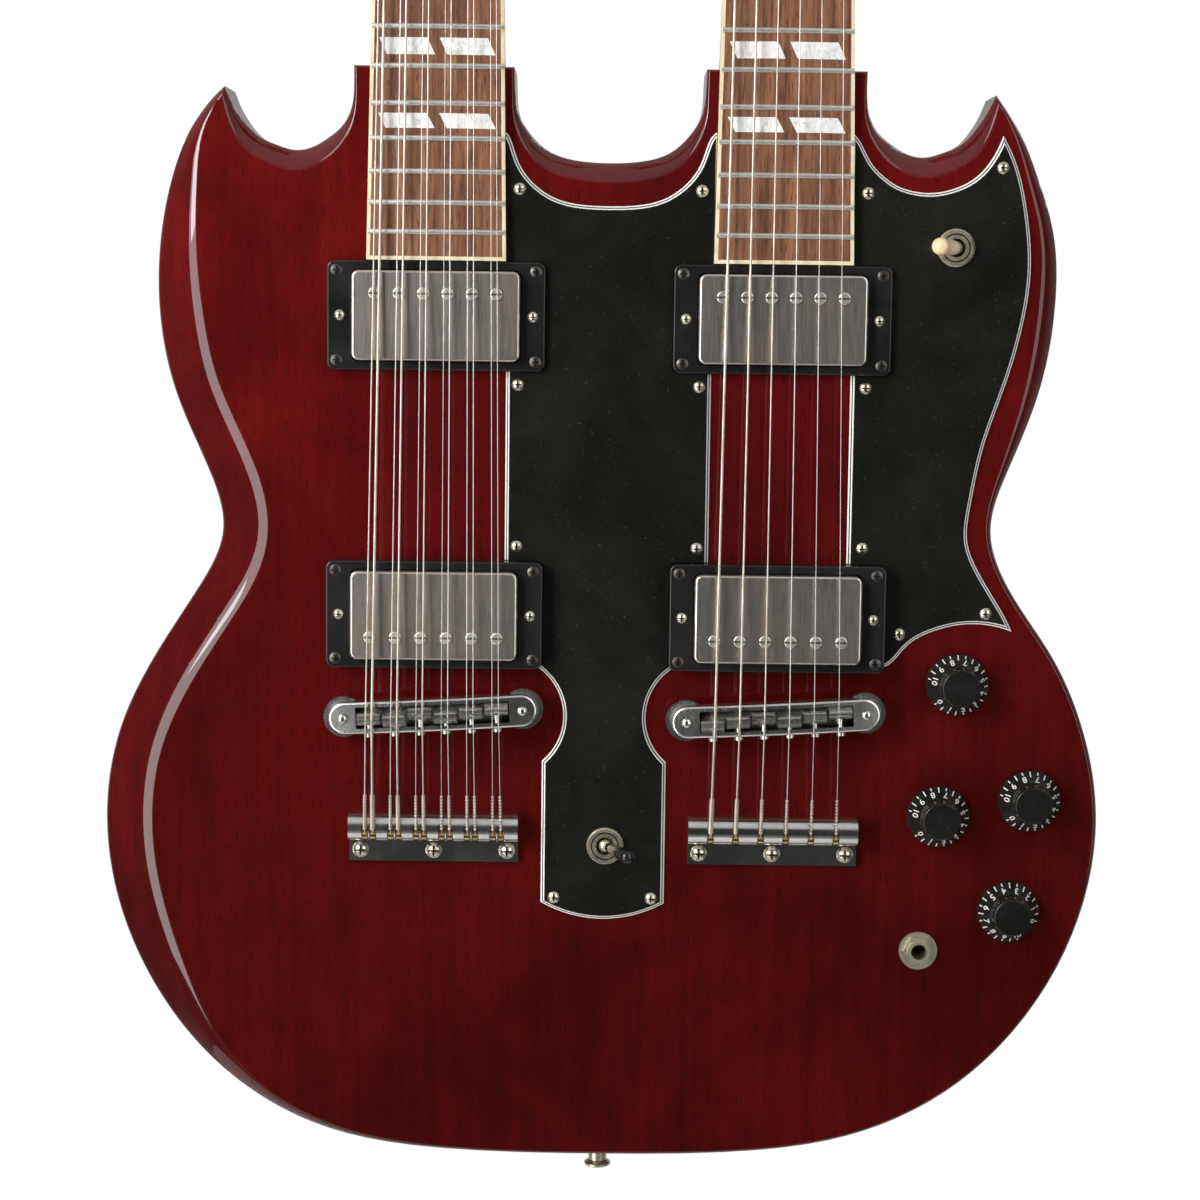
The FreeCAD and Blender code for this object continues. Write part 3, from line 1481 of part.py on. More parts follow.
def tip_profile(root_radius, end_radius, nose):
    # a taper from the root that ends in a rounded nose of the given depth
    points = [(0, toggle_tip_start), (root_radius, toggle_tip_start)]
    steps = 6
    for step in range(steps):
        angle = math.pi / 2 * step / steps
        points.append((end_radius * math.cos(angle), toggle_tip_end - nose + nose * math.sin(angle)))
    points.append((0, toggle_tip_end))
    return points


# Strap buttons

def strap_button(place, axis):
    rim = strap_flange_thickness / 4
    profile = [(0, 0), (strap_seat_radius, 0), (strap_post_radius, strap_flange_thickness / 2),
               (strap_post_radius, strap_rise - strap_flange_thickness),
               (strap_flange_radius, strap_rise - 2 * rim), (strap_flange_radius, strap_rise - rim),
               (strap_flange_radius - rim, strap_rise), (0, strap_rise)]
    button = turned(profile, place, axis)
    screw = rod(place, place.add(Vector(axis).multiply(-strap_screw_length)), strap_screw_radius)
    return button.fuse(screw)


# Tuners

def tuner_post():
    # in the headstock's frame, along Y, at the origin; the front is towards -Y
    profile = [(0, -head_back - post_tail), (post_radius, -head_back - post_tail),
               (post_radius, -head_back), (bushing_radius, -head_back), (bushing_radius, 0),
               (bushing_washer_radius, 0), (bushing_washer_radius, bushing_washer_thickness),
               (bushing_nut_radius, bushing_washer_thickness), (bushing_nut_radius, bushing_nut_rise),
               (post_radius, bushing_nut_rise), (post_radius, post_waist_low),
               (post_waist_radius, string_post_rise - fit_gap),
               (post_waist_radius, string_post_rise + fit_gap), (post_radius, post_waist_high),
               (post_radius, post_rise), (0, post_rise)]
    return turned(profile, Vector(0, 0, 0), Vector(0, -1, 0))


def tuner_housing(side):
    centre_x = side * housing_reach
    face = rounded_rectangle(housing_width, housing_length, housing_corner)
    face.translate(Vector(centre_x, head_back, 0))
    body = prism(face, housing_depth)
    body = body.makeFillet(housing_corner / 2, edges_at(body, head_back + housing_depth))
    well_end = Vector(0, head_back + post_tail + fit_gap, 0)
    well = rod(Vector(0, head_back - overrun, 0), well_end, post_radius + fit_gap)
    outer = centre_x + side * housing_width / 2
    depth = head_back + housing_shaft_depth
    inner = outer - side * (button_shaft_socket + fit_gap)
    bore_end = Vector(outer + side * overrun, depth, 0)
    bore = rod(Vector(inner, depth, 0), bore_end, button_shaft_radius + running_gap)
    return body.cut([well, bore])


def tuner_button(side):
    outer = side * (housing_reach + housing_width / 2)
    depth = head_back + housing_shaft_depth
    start = outer - side * button_shaft_socket
    root = outer + side * button_stand_off
    shaft_end = Vector(root + side * button_collar_length, depth, 0)
    shaft = rod(Vector(start, depth, 0), shaft_end, button_shaft_radius)
    collar_start = Vector(root - side * button_collar_length, depth, 0)
    collar = rod(collar_start, Vector(root, depth, 0), button_collar_radius)
    half = button_width / 2
    shoulder = half - button_corner
    end = button_reach
    half_outline = [(0, button_neck_width / 2), (button_shoulder_reach, shoulder),
                    (end - button_corner, half), (end, shoulder)]
    outline = [(along, -across) for along, across in half_outline] + list(reversed(half_outline))
    front = depth - button_thickness / 2
    points = [Vector(root + side * along, front, across) for along, across in outline]
    paddle = prism(polygon_face(points), button_thickness)
    paddle = paddle.makeFillet(button_thickness / 4, paddle.Edges)
    return paddle.fuse([shaft, collar])


def head_facing(neck):
    # the thin black facing on the front of the headstock
    plate = prism(head_face(neck, headplate_start), headplate_thickness)
    holes = truss_screw_holes(overrun)
    for across, along, _ in post_places(neck):
        front = Vector(across, -overrun, along)
        holes.append(rod(front, Vector(across, overrun, along), bushing_radius + fit_gap))
    return placed(plate.cut(holes), head_placement(neck)).cut(placed(truss_pocket(), neck_placement(neck)))


def truss_cover(neck):
    low = truss_cover_width / 2
    high = truss_cover_top_width / 2
    start = truss_cover_gap
    end = truss_cover_gap + truss_cover_length
    crown = Vector(0, 0, end + truss_cover_crown)
    left = Vector(-high, 0, end)
    right = Vector(high, 0, end)
    base_left = Vector(-low, 0, start)
    base_right = Vector(low, 0, start)
    edges = [Part.makeLine(base_left, base_right), Part.makeLine(base_right, right),
             Part.Arc(right, crown, left).toShape(), Part.makeLine(left, base_left)]
    plate = prism(Part.Face(Part.Wire(edges)), -truss_cover_thickness)
    return placed(plate.cut(truss_screw_holes(overrun)), head_placement(neck))


def build_necks():
    inlays = []
    bindings = []
    frets = []
    nuts = []
    facings = []
    rods = []
    covers = []
    for neck, name in ((twelve_neck, "twelve"), (six_neck, "six")):
        frame = neck_placement(neck)
        fret_group = [fret_shape(number) for number in range(1, fret_count + 1)]
        inlay_group = inlay_set()
        full = board_prism(0, board_thickness).common(camber_rod(0))
        middle = board_prism(-binding_width, board_thickness)
        core = full.common(middle).cut(fret_group + inlay_group)
        binding = full.cut([middle] + fret_group)
        export("fretboard_" + name, placed(core, frame))
        bindings.append(placed(binding, frame))
        frets.extend(placed(fret, frame) for fret in fret_group)
        inlays.extend(placed(inlay, frame) for inlay in inlay_group)
        nuts.append(string_nut(neck))
        facings.append(head_facing(neck))
        rods.append(placed(truss_rod_shape(0), frame))
        covers.append(truss_cover(neck))
        export("neck_" + name, neck_wood(neck))
    export("frets", frets)
    export("inlays", inlays)
    export("bindings", bindings)
    export("string_nuts", nuts)
    export("headplates", facings)
    export("truss_rods", rods)
    export("truss_rod_covers", covers)


def build_tuners():
    posts = []
    housings = []
    for neck, name in ((twelve_neck, "twelve"), (six_neck, "six")):
        head = head_placement(neck)
        for index, place in enumerate(post_places(neck)):
            local = head.multiply(Placement(Vector(place[0], 0, place[1]), Rotation()))
            posts.append(placed(tuner_post(), local))
            housings.append(placed(tuner_housing(place[2]), local))
            export("tuner_button_%s_%d" % (name, index + 1), placed(tuner_button(place[2]), local))
    export("string_posts", posts)
    export("tuner_housings", housings)


def build_strings():
    wires = []
    balls = []
    for neck in necks:
        for radius, route in string_points(neck):
            wires.append(string_wire(radius, route))
        balls.extend(ball_ends(neck))
    export("strings", wires)
    export("ball_ends", balls)


def build_pickups():
    places = pickup_places()
    poles = []
    heights = []
    coils = []
    for place in places:
        rise = cover_rise(place)
        seat = ring_rise(place)
        low = rise - cover_depth - baseplate_thickness
        for spot in pole_places(place):
            poles.append(slotted_pole(spot, rise, low))
        screw = cross_head_screw(height_screw_radius, height_screw_rise, height_shank_radius, seat - low)
        for spot in height_screw_places(place):
            heights.append(seated(screw, spot, front_y - seat, Vector(0, -1, 0)))
        coils.extend(pickup_coil_set(place))
    export("pickup_rings", [pickup_ring(place) for place in places])
    export("pickup_covers", [pickup_cover(place) for place in places])
    export("pickup_coils", coils)
    export("pole_screws", poles)
    export("height_screws", heights)


def build_bridges():
    saddles = []
    posts = []
    for neck, name in ((twelve_neck, "twelve"), (six_neck, "six")):
        export("bridge_" + name, bridge_body(neck))
        export("tailpiece_" + name, tailpiece(neck))
        saddles.extend(bridge_saddles(neck))
        posts.extend(bridge_post(place) for place in bridge_post_places(neck))
    export("bridge_saddles", saddles)
    export("bridge_posts", posts)


def build_controls():
    for index, place in enumerate(knob_places):
        export("control_knob_%d" % (index + 1), control_knob(place))
    export("control_pots", [control_pot(place) for place in knob_places])
    export("output_jack", output_jack())
    export("rear_cover", rear_cover())
    export("toggle_switches", toggle_frame(wing_switch_place) + toggle_frame(middle_switch_place))
    cream_tip = tip_profile(cream_tip_root_radius, cream_tip_radius, cream_tip_nose)
    black_tip = tip_profile(black_tip_root_radius, black_tip_end_radius, black_tip_end_radius)
    export("wing_switch_lever", toggle_lever(wing_switch_place, cream_tip, -toggle_tilt))
    export("middle_switch_lever", toggle_lever(middle_switch_place, black_tip, toggle_tilt))
    back_place = Vector(back_strap_place[0], back_y, back_strap_place[1])
    buttons = [strap_button(Vector(0, 0, 0), Vector(0, 0, -1)), strap_button(back_place, Vector(0, 1, 0))]
    export("strap_buttons", buttons)


def build_body():
    body = body_blank().cut(body_cuts() + screw_holes())
    sockets = []
    for neck in necks:
        sockets.append(neck_tenon(neck, fit_gap))
        sockets.append(placed(board_prism(fit_gap, board_thickness + fit_gap), neck_placement(neck)))
    export("body", body.cut(sockets))
    export("guard_main", guard_solid(main_guard_face(), main_screw_places(), middle_switch_place))
    export("guard_wing", guard_solid(wing_guard_face(), wing_screw_places, wing_switch_place))
    export("small_screws", small_screws())


os.makedirs("parts", exist_ok=True)
build_body()
build_necks()
build_tuners()
build_strings()
build_pickups()
build_bridges()
build_controls()
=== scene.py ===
import json
import math

import bpy
import numpy
from mathutils import Matrix, Vector, kdtree

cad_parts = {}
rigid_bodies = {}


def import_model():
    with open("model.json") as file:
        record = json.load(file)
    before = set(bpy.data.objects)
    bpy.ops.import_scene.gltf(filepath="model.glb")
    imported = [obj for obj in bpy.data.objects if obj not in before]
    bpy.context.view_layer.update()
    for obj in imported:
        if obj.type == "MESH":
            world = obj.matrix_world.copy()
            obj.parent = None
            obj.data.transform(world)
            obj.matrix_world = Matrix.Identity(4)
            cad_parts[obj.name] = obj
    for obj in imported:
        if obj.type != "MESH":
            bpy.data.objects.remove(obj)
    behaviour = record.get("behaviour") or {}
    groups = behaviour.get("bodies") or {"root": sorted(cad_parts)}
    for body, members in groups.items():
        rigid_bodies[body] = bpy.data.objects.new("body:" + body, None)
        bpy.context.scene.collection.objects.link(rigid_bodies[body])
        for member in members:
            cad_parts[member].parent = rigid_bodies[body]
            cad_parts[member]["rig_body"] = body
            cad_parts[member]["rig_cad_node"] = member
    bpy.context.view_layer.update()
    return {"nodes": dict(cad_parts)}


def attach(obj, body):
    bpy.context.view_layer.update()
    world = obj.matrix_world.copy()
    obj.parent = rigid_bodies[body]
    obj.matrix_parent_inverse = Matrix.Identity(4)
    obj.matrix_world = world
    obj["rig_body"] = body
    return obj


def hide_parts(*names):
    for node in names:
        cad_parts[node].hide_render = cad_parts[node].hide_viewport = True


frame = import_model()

cadNodes = frame["nodes"]
mm = 0.001

frontY = -18 * mm  # the body's flat front face
backY = 18 * mm
twelveX = -69.9  # the twelve-string neck's middle line, in millimetres
sixX = 71.1
forward = Vector((0, -1, 0))  # out of the front face


def deselectAll():
    if bpy.context.mode != "OBJECT":
        bpy.ops.object.mode_set(mode="OBJECT")
    bpy.ops.object.select_all(action="DESELECT")


def makeActive(piece):
    deselectAll()
    piece.hide_viewport = False
    piece.select_set(True)
    bpy.context.view_layer.objects.active = piece


def renamed(piece, name):
    piece.name = name
    piece.data.name = name
    return piece


def newest(name):
    # the object that an operator has just made
    return renamed(bpy.context.object, name)


def bakePlace(piece):
    # the place goes into the mesh, and the object sits at the origin
    makeActive(piece)
    bpy.ops.object.transform_apply(location=True, rotation=True, scale=True)


def applyModifiers(piece):
    makeActive(piece)
    for name in [modifier.name for modifier in piece.modifiers]:
        bpy.ops.object.modifier_apply(modifier=name)


def dress(piece, material):
    piece.data.materials.clear()
    piece.data.materials.append(material)


def dressNode(nodeName, material):
    for slot in cadNodes[nodeName].material_slots:
        slot.material = material


def selectNumbered(piece, numbers):
    # in edit mode: only the faces with these numbers stay selected
    bpy.ops.mesh.select_mode(type="FACE")
    bpy.ops.mesh.select_all(action="DESELECT")
    bpy.ops.object.mode_set(mode="OBJECT")
    for number in numbers:
        piece.data.polygons[number].select = True
    bpy.ops.object.mode_set(mode="EDIT")


def selectFaces(piece, test):
    # in edit mode: only the faces stay selected for which the test of place and normal holds
    faces = piece.data.polygons
    selectNumbered(piece, [face.index for face in faces if test(face.center, face.normal)])


def joined(pieces, name):
    deselectAll()
    for piece in pieces:
        piece.select_set(True)
    bpy.context.view_layer.objects.active = pieces[0]
    bpy.ops.object.join()
    return newest(name)


def placedCopy(piece, name, place):
    # a copy with a mesh of its own, moved by a matrix
    makeActive(piece)
    bpy.ops.object.duplicate()
    twin = newest(name)
    twin.matrix_world = place
    bakePlace(twin)
    return twin


def growAlong(direction, centre, startRadius, steps):
    # pulls the selected cap along a direction, ring by ring: (radius, distance from the ring before)
    radius = startRadius
    for newRadius, distance in steps:
        move = [component * distance for component in direction]
        bpy.ops.mesh.extrude_region_move(TRANSFORM_OT_translate={"value": move})
        centre = centre + Vector(move)
        share = newRadius / radius
        bpy.ops.transform.resize(value=(share, share, share), center_override=centre)
        radius = newRadius
    return centre


def finishPiece(piece, material, body, replaced=(), angle=30):
    dress(piece, material)
    makeActive(piece)
    bpy.ops.object.shade_smooth_by_angle(angle=math.radians(angle))
    bakePlace(piece)
    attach(piece, body)
    if replaced:
        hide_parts(*replaced)
    return piece


# building shaders

def addNode(tree, kind, inputs=None, **settings):
    node = tree.nodes.new(kind)
    for key, value in settings.items():
        setattr(node, key, value)
    for key, value in (inputs or {}).items():
        if isinstance(value, bpy.types.NodeSocket):
            tree.links.new(value, node.inputs[key])
        else:
            node.inputs[key].default_value = value
    return node


def newGroup(name, inputs, outputs):
    group = bpy.data.node_groups.new(name, "ShaderNodeTree")
    for label, value in inputs.items():
        socket = group.interface.new_socket(label, in_out="INPUT", socket_type="NodeSocketFloat")
        socket.default_value = value
    for label in outputs:
        group.interface.new_socket(label, in_out="OUTPUT", socket_type="NodeSocketFloat")
    return group, group.nodes.new("NodeGroupInput"), group.nodes.new("NodeGroupOutput")


def noiseOf(tree, vector, scale=1.0, detail=2.0, roughness=0.5, distortion=0.0):
    return addNode(tree, "ShaderNodeTexNoise", {"Vector": vector, "Scale": scale, "Detail": detail,
                                                "Roughness": roughness, "Distortion": distortion})


def rangeOf(tree, value, low, high, newLow=0.0, newHigh=1.0):
    node = addNode(tree, "ShaderNodeMapRange", {"From Min": low, "From Max": high, "To Min": newLow,
                                                "To Max": newHigh, "Value": value})
    return node.outputs["Result"]


def mathOf(tree, operation, first, second=0.0):
    node = addNode(tree, "ShaderNodeMath", {0: first, 1: second}, operation=operation)
    return node.outputs[0]


def timesOf(tree, vector, factors):
    # a point with each of its axes scaled by itself
    return addNode(tree, "ShaderNodeVectorMath", {0: vector, 1: factors}, operation="MULTIPLY").outputs[0]


def mixOf(tree, factor, first, second, blend="MIX"):
    node = addNode(tree, "ShaderNodeMix", data_type="RGBA", blend_type=blend)
    for socket, value in ((node.inputs[0], factor), (node.inputs[6], first), (node.inputs[7], second)):
        if isinstance(value, bpy.types.NodeSocket):
            tree.links.new(value, socket)
        else:
            socket.default_value = value
    return node.outputs[2]


def colour(red, green, blue):
    return (red, green, blue, 1.0)


def objectPoint(tree):
    return addNode(tree, "ShaderNodeTexCoord").outputs["Object"]


def makeWoodFigure():
    # long streaks, a broad tone and short pores, all running up the necks
    group, given, result = newGroup("WoodFigure", {"Across": 160.0, "Along": 5.0, "Pore Scale": 1500.0},
                                    ["Streak", "Tone", "Pore"])
    point = objectPoint(group)
    across, along = given.outputs["Across"], given.outputs["Along"]
    scales = addNode(group, "ShaderNodeCombineXYZ", {"X": across, "Y": across, "Z": along})
    streak = noiseOf(group, timesOf(group, point, scales.outputs[0]), 1.0, 5.0, 0.62, 0.4)
    tone = noiseOf(group, point, 16.0, 3.0, 0.55, 0.6)
    pore = noiseOf(group, timesOf(group, point, (1.0, 1.0, 0.09)), given.outputs["Pore Scale"], 2.0, 0.55)
    group.links.new(rangeOf(group, streak.outputs["Fac"], 0.32, 0.68), result.inputs["Streak"])
    group.links.new(rangeOf(group, tone.outputs["Fac"], 0.36, 0.64), result.inputs["Tone"])
    group.links.new(rangeOf(group, pore.outputs["Fac"], 0.56, 0.70), result.inputs["Pore"])
    return group


def makeSurfaceDust():
    # fine pale specks and slow smears, as on plastic and lacquer that has been handled
    group, given, result = newGroup("SurfaceDust", {"Speck Scale": 900.0, "Smear Scale": 22.0},
                                    ["Speck", "Smear"])
    point = objectPoint(group)
    speck = noiseOf(group, point, given.outputs["Speck Scale"], 1.0, 0.4)
    smear = noiseOf(group, point, given.outputs["Smear Scale"], 4.0, 0.6, 0.8)
    group.links.new(rangeOf(group, speck.outputs["Fac"], 0.70, 0.80), result.inputs["Speck"])
    group.links.new(rangeOf(group, smear.outputs["Fac"], 0.35, 0.65), result.inputs["Smear"])
    return group


def makeMetalWear():
    # cloudy tarnish, small pits and fine rubbing marks up and down
    given = {"Cloud Scale": 90.0, "Pit Scale": 1500.0, "Rub Scale": 2200.0}
    group, given, result = newGroup("MetalWear", given, ["Cloud", "Pit", "Rub"])
    point = objectPoint(group)
    cloud = noiseOf(group, point, given.outputs["Cloud Scale"], 5.0, 0.62, 0.3)
    pit = noiseOf(group, point, given.outputs["Pit Scale"], 2.0, 0.5)
    rub = noiseOf(group, timesOf(group, point, (1.0, 1.0, 0.03)), given.outputs["Rub Scale"], 2.0, 0.6)
    group.links.new(rangeOf(group, cloud.outputs["Fac"], 0.34, 0.66), result.inputs["Cloud"])
    group.links.new(rangeOf(group, pit.outputs["Fac"], 0.62, 0.74), result.inputs["Pit"])
    group.links.new(rangeOf(group, rub.outputs["Fac"], 0.4, 0.7), result.inputs["Rub"])
    return group


woodFigure = makeWoodFigure()
surfaceDust = makeSurfaceDust()
metalWear = makeMetalWear()


def placeGroup(tree, group, **values):
    node = tree.nodes.new("ShaderNodeGroup")
    node.node_tree = group
    for label, value in values.items():
        node.inputs[label.replace("_", " ")].default_value = value
    return node


def startMaterial(name, **fixed):
    # fixed values are set on the shader's own sockets
    material = bpy.data.materials.new(name)
    material.use_nodes = True
    tree = material.node_tree
    shader = tree.nodes["Principled BSDF"]
    for label, value in fixed.items():
        shader.inputs[label.replace("_", " ")].default_value = value
    return material, tree, shader


def addBump(tree, shader, height, distance, strength=1.0):
    bump = addNode(tree, "ShaderNodeBump", {"Height": height, "Distance": distance, "Strength": strength})
    tree.links.new(bump.outputs["Normal"], shader.inputs["Normal"])


def lacquerOverWood(name, settings):
    material, tree, shader = startMaterial(name, Coat_Weight=1.0, Coat_Roughness=settings["gloss"],
                                           Coat_IOR=1.55, Specular_IOR_Level=0.0, Roughness=0.5)
    figure = placeGroup(tree, woodFigure, Across=settings["across"], Along=settings["along"])
    dust = placeGroup(tree, surfaceDust, Speck_Scale=1100.0, Smear_Scale=14.0)
    streaked = mixOf(tree, figure.outputs["Streak"], settings["dark"], settings["light"])
    toned = mixOf(tree, figure.outputs["Tone"], settings["shade"], colour(1, 1, 1))
    wood = mixOf(tree, 1.0, streaked, toned, "MULTIPLY")
    pores = mathOf(tree, "MULTIPLY", figure.outputs["Pore"], settings["pores"])
    wood = mixOf(tree, pores, wood, settings["pore"])
    # painted shade: the lacquer is multiplied darker towards the bottom, from the low colour up to the high
    # one, standing in for light that falls off downward
    height = addNode(tree, "ShaderNodeSeparateXYZ", {"Vector": objectPoint(tree)}).outputs["Z"]
    paintedShadeByHeight = mixOf(tree, rangeOf(tree, height, 0.06, 0.38), settings["low"], settings["high"])
    tree.links.new(mixOf(tree, 1.0, wood, paintedShadeByHeight, "MULTIPLY"), shader.inputs["Base Color"])
    tree.links.new(rangeOf(tree, dust.outputs["Smear"], 0, 1, 0.34, 0.46), shader.inputs["Roughness"])
    addBump(tree, shader, figure.outputs["Streak"], settings["ripple"])
    return material


# each lacquer's low and high colours are the painted shade that darkens it towards the bottom
cherryLacquer = lacquerOverWood("cherryLacquer", {
    "across": 210.0, "along": 14.0, "gloss": 0.04, "pores": 0.75, "ripple": 0.000008,
    "dark": colour(0.100, 0.0048, 0.0044), "light": colour(0.142, 0.0058, 0.0052),
    "shade": colour(0.64, 0.68, 0.74), "pore": colour(0.042, 0.0030, 0.0028),
    "low": colour(0.58, 0.58, 0.56), "high": colour(1.0, 1.0, 1.0)})
neckLacquer = lacquerOverWood("neckLacquer", {
    "across": 210.0, "along": 11.0, "gloss": 0.06, "pores": 0.5, "ripple": 0.000008,
    "dark": colour(0.100, 0.0048, 0.0044), "light": colour(0.128, 0.0058, 0.0052),
    "shade": colour(0.76, 0.78, 0.80), "pore": colour(0.048, 0.0032, 0.0030),
    "low": colour(0.9, 0.9, 0.9), "high": colour(1.0, 1.0, 1.0)})


def makeRosewood(settings):
    material, tree, shader = startMaterial("rosewood", Specular_IOR_Level=0.35)
    figure = placeGroup(tree, woodFigure, Across=settings["across"], Along=settings["along"])
    coarse = placeGroup(tree, woodFigure, Across=settings["across"] * 0.33, Along=settings["along"] * 0.8,
                        Pore_Scale=900.0)
    wood = mixOf(tree, figure.outputs["Streak"], settings["dark"], settings["light"])
    bands = mixOf(tree, coarse.outputs["Streak"], settings["band"], colour(1, 1, 1))
    wood = mixOf(tree, 1.0, wood, bands, "MULTIPLY")
    pores = mathOf(tree, "MULTIPLY", figure.outputs["Pore"], settings["pores"])
    wood = mixOf(tree, pores, wood, settings["pore"])
    tree.links.new(wood, shader.inputs["Base Color"])
    tree.links.new(rangeOf(tree, figure.outputs["Streak"], 0, 1, 0.62, 0.48), shader.inputs["Roughness"])
    addBump(tree, shader, figure.outputs["Pore"], settings["poreDepth"], 0.6)
    return material


rosewood = makeRosewood({"across": 520.0, "along": 16.0, "pores": 0.85, "poreDepth": -0.00005,
                         "dark": colour(0.15, 0.052, 0.024), "light": colour(0.42, 0.20, 0.105),
                         "band": colour(0.50, 0.44, 0.40), "pore": colour(0.060, 0.020, 0.011)})


def makePearl():
    material, tree, shader = startMaterial("pearl", Roughness=0.22, Coat_Weight=0.6, Coat_Roughness=0.08,
                                           Specular_IOR_Level=0.6)
    point = objectPoint(tree)
    ripple = noiseOf(tree, timesOf(tree, point, (1.0, 1.0, 0.55)), 260.0, 4.0, 0.6, 2.2)
    flake = addNode(tree, "ShaderNodeTexVoronoi", {"Vector": point, "Scale": 170.0})
    shine = mixOf(tree, rangeOf(tree, ripple.outputs["Fac"], 0.30, 0.52), colour(0.60, 0.60, 0.58),
                  colour(0.90, 0.90, 0.88))
    tinted = mixOf(tree, 0.04, shine, flake.outputs["Color"], "MULTIPLY")
    tree.links.new(tinted, shader.inputs["Base Color"])
    return material


def makePlastic(name, settings):
    material, tree, shader = startMaterial(name, Specular_IOR_Level=settings.get("specular", 0.5),
                                           Coat_Weight=settings.get("coat", 0.0), Coat_Roughness=0.05)
    dust = placeGroup(tree, surfaceDust, Speck_Scale=settings.get("speckScale", 900.0),
                      Smear_Scale=settings.get("smearScale", 26.0))
    base = mixOf(tree, dust.outputs["Smear"], settings["dark"], settings["light"])
    specks = mathOf(tree, "MULTIPLY", dust.outputs["Speck"], settings.get("specks", 0.25))
    base = mixOf(tree, specks, base, settings.get("speck", colour(0.12, 0.12, 0.11)))
    tree.links.new(base, shader.inputs["Base Color"])
    low, high = settings["roughness"]
    tree.links.new(rangeOf(tree, dust.outputs["Smear"], 0, 1, low, high), shader.inputs["Roughness"])
    addBump(tree, shader, dust.outputs["Speck"], settings.get("grit", 0.000015), 0.5)
    return material, tree, shader, base


def makeGuardPlies(settings):
    # a laminate: black on top, with pale and dark plies that show along the bevelled edge
    material, tree, shader, top = makePlastic("guardPlies", settings)
    depth = addNode(tree, "ShaderNodeSeparateXYZ", {"Vector": objectPoint(tree)}).outputs["Y"]
    height = mathOf(tree, "SUBTRACT", frontY, depth)
    share = mathOf(tree, "MULTIPLY", height, 1 / settings["thickness"])
    ramp = addNode(tree, "ShaderNodeValToRGB", {"Fac": share})
    ramp.color_ramp.interpolation = "CONSTANT"
    marks = ramp.color_ramp.elements
    marks[0].position = 0.0
    marks[0].color = settings["pale"]
    marks[1].position = settings["plies"][0]
    marks[1].color = settings["dark"]
    second = marks.new(settings["plies"][1])
    second.color = settings["pale"]
    isTop = mathOf(tree, "GREATER_THAN", share, settings["plies"][2])
    tree.links.new(mixOf(tree, isTop, ramp.outputs["Color"], top), shader.inputs["Base Color"])
    return material


blackPlastic = {"dark": colour(0.0070, 0.0072, 0.0056), "light": colour(0.0095, 0.0096, 0.0078),
                "roughness": (0.24, 0.34), "specular": 0.28, "specks": 0.20}
guardPlies = makeGuardPlies(dict(blackPlastic, thickness=2.4 * mm, plies=(0.40, 0.58, 0.80),
                                 pale=colour(0.90, 0.89, 0.83)))
guardPlain = makePlastic("guardPlain", blackPlastic)[0]
ringBlack = makePlastic("ringBlack", {
    "dark": colour(0.010, 0.010, 0.010), "light": colour(0.018, 0.018, 0.018), "roughness": (0.12, 0.2),
    "specks": 0.12})[0]
headplateBlack = makePlastic("headplateBlack", {
    "dark": colour(0.006, 0.006, 0.006), "specks": 0.05, "light": colour(0.009, 0.009, 0.009), "coat": 0.8,
    "roughness": (0.15, 0.25)})[0]
coilBlack = makePlastic("coilBlack", {
    "dark": colour(0.012, 0.012, 0.012), "light": colour(0.02, 0.02, 0.02), "roughness": (0.45, 0.6)})[0]
knobBlack = makePlastic("knobBlack", {
    "dark": colour(0.008, 0.008, 0.007), "light": colour(0.013, 0.013, 0.012), "roughness": (0.16, 0.26),
    "specks": 0.15, "specular": 0.45})[0]
switchBlack = makePlastic("switchBlack", {
    "dark": colour(0.008, 0.008, 0.008), "light": colour(0.012, 0.012, 0.012), "roughness": (0.1, 0.16),
    "specks": 0.08})[0]
switchCream = makePlastic("switchCream", {
    "dark": colour(0.80, 0.62, 0.36), "light": colour(0.90, 0.75, 0.48), "roughness": (0.2, 0.3),
    "specks": 0.10, "smearScale": 120.0, "speck": colour(0.45, 0.30, 0.15)})[0]
creamBinding = makePlastic("creamBinding", {
    "dark": colour(0.74, 0.62, 0.40), "light": colour(0.86, 0.78, 0.56), "roughness": (0.25, 0.36),
    "specks": 0.12, "smearScale": 60.0, "speck": colour(0.42, 0.30, 0.16)})[0]
bone = makePlastic("bone", {
    "dark": colour(0.74, 0.68, 0.52), "light": colour(0.84, 0.80, 0.66), "roughness": (0.3, 0.42),
    "specks": 0.2, "smearScale": 160.0, "speck": colour(0.55, 0.45, 0.3)})[0]
tunerPlastic = makePlastic("tunerPlastic", {
    "dark": colour(0.72, 0.66, 0.46), "light": colour(0.84, 0.80, 0.62), "roughness": (0.14, 0.22),
    "specks": 0.1, "smearScale": 110.0, "speck": colour(0.5, 0.4, 0.22)})[0]
markingWhite = makePlastic("markingWhite", {
    "dark": colour(0.66, 0.65, 0.58), "light": colour(0.82, 0.81, 0.75), "roughness": (0.4, 0.5),
    "specks": 0.2, "smearScale": 300.0})[0]
pearl = makePearl()


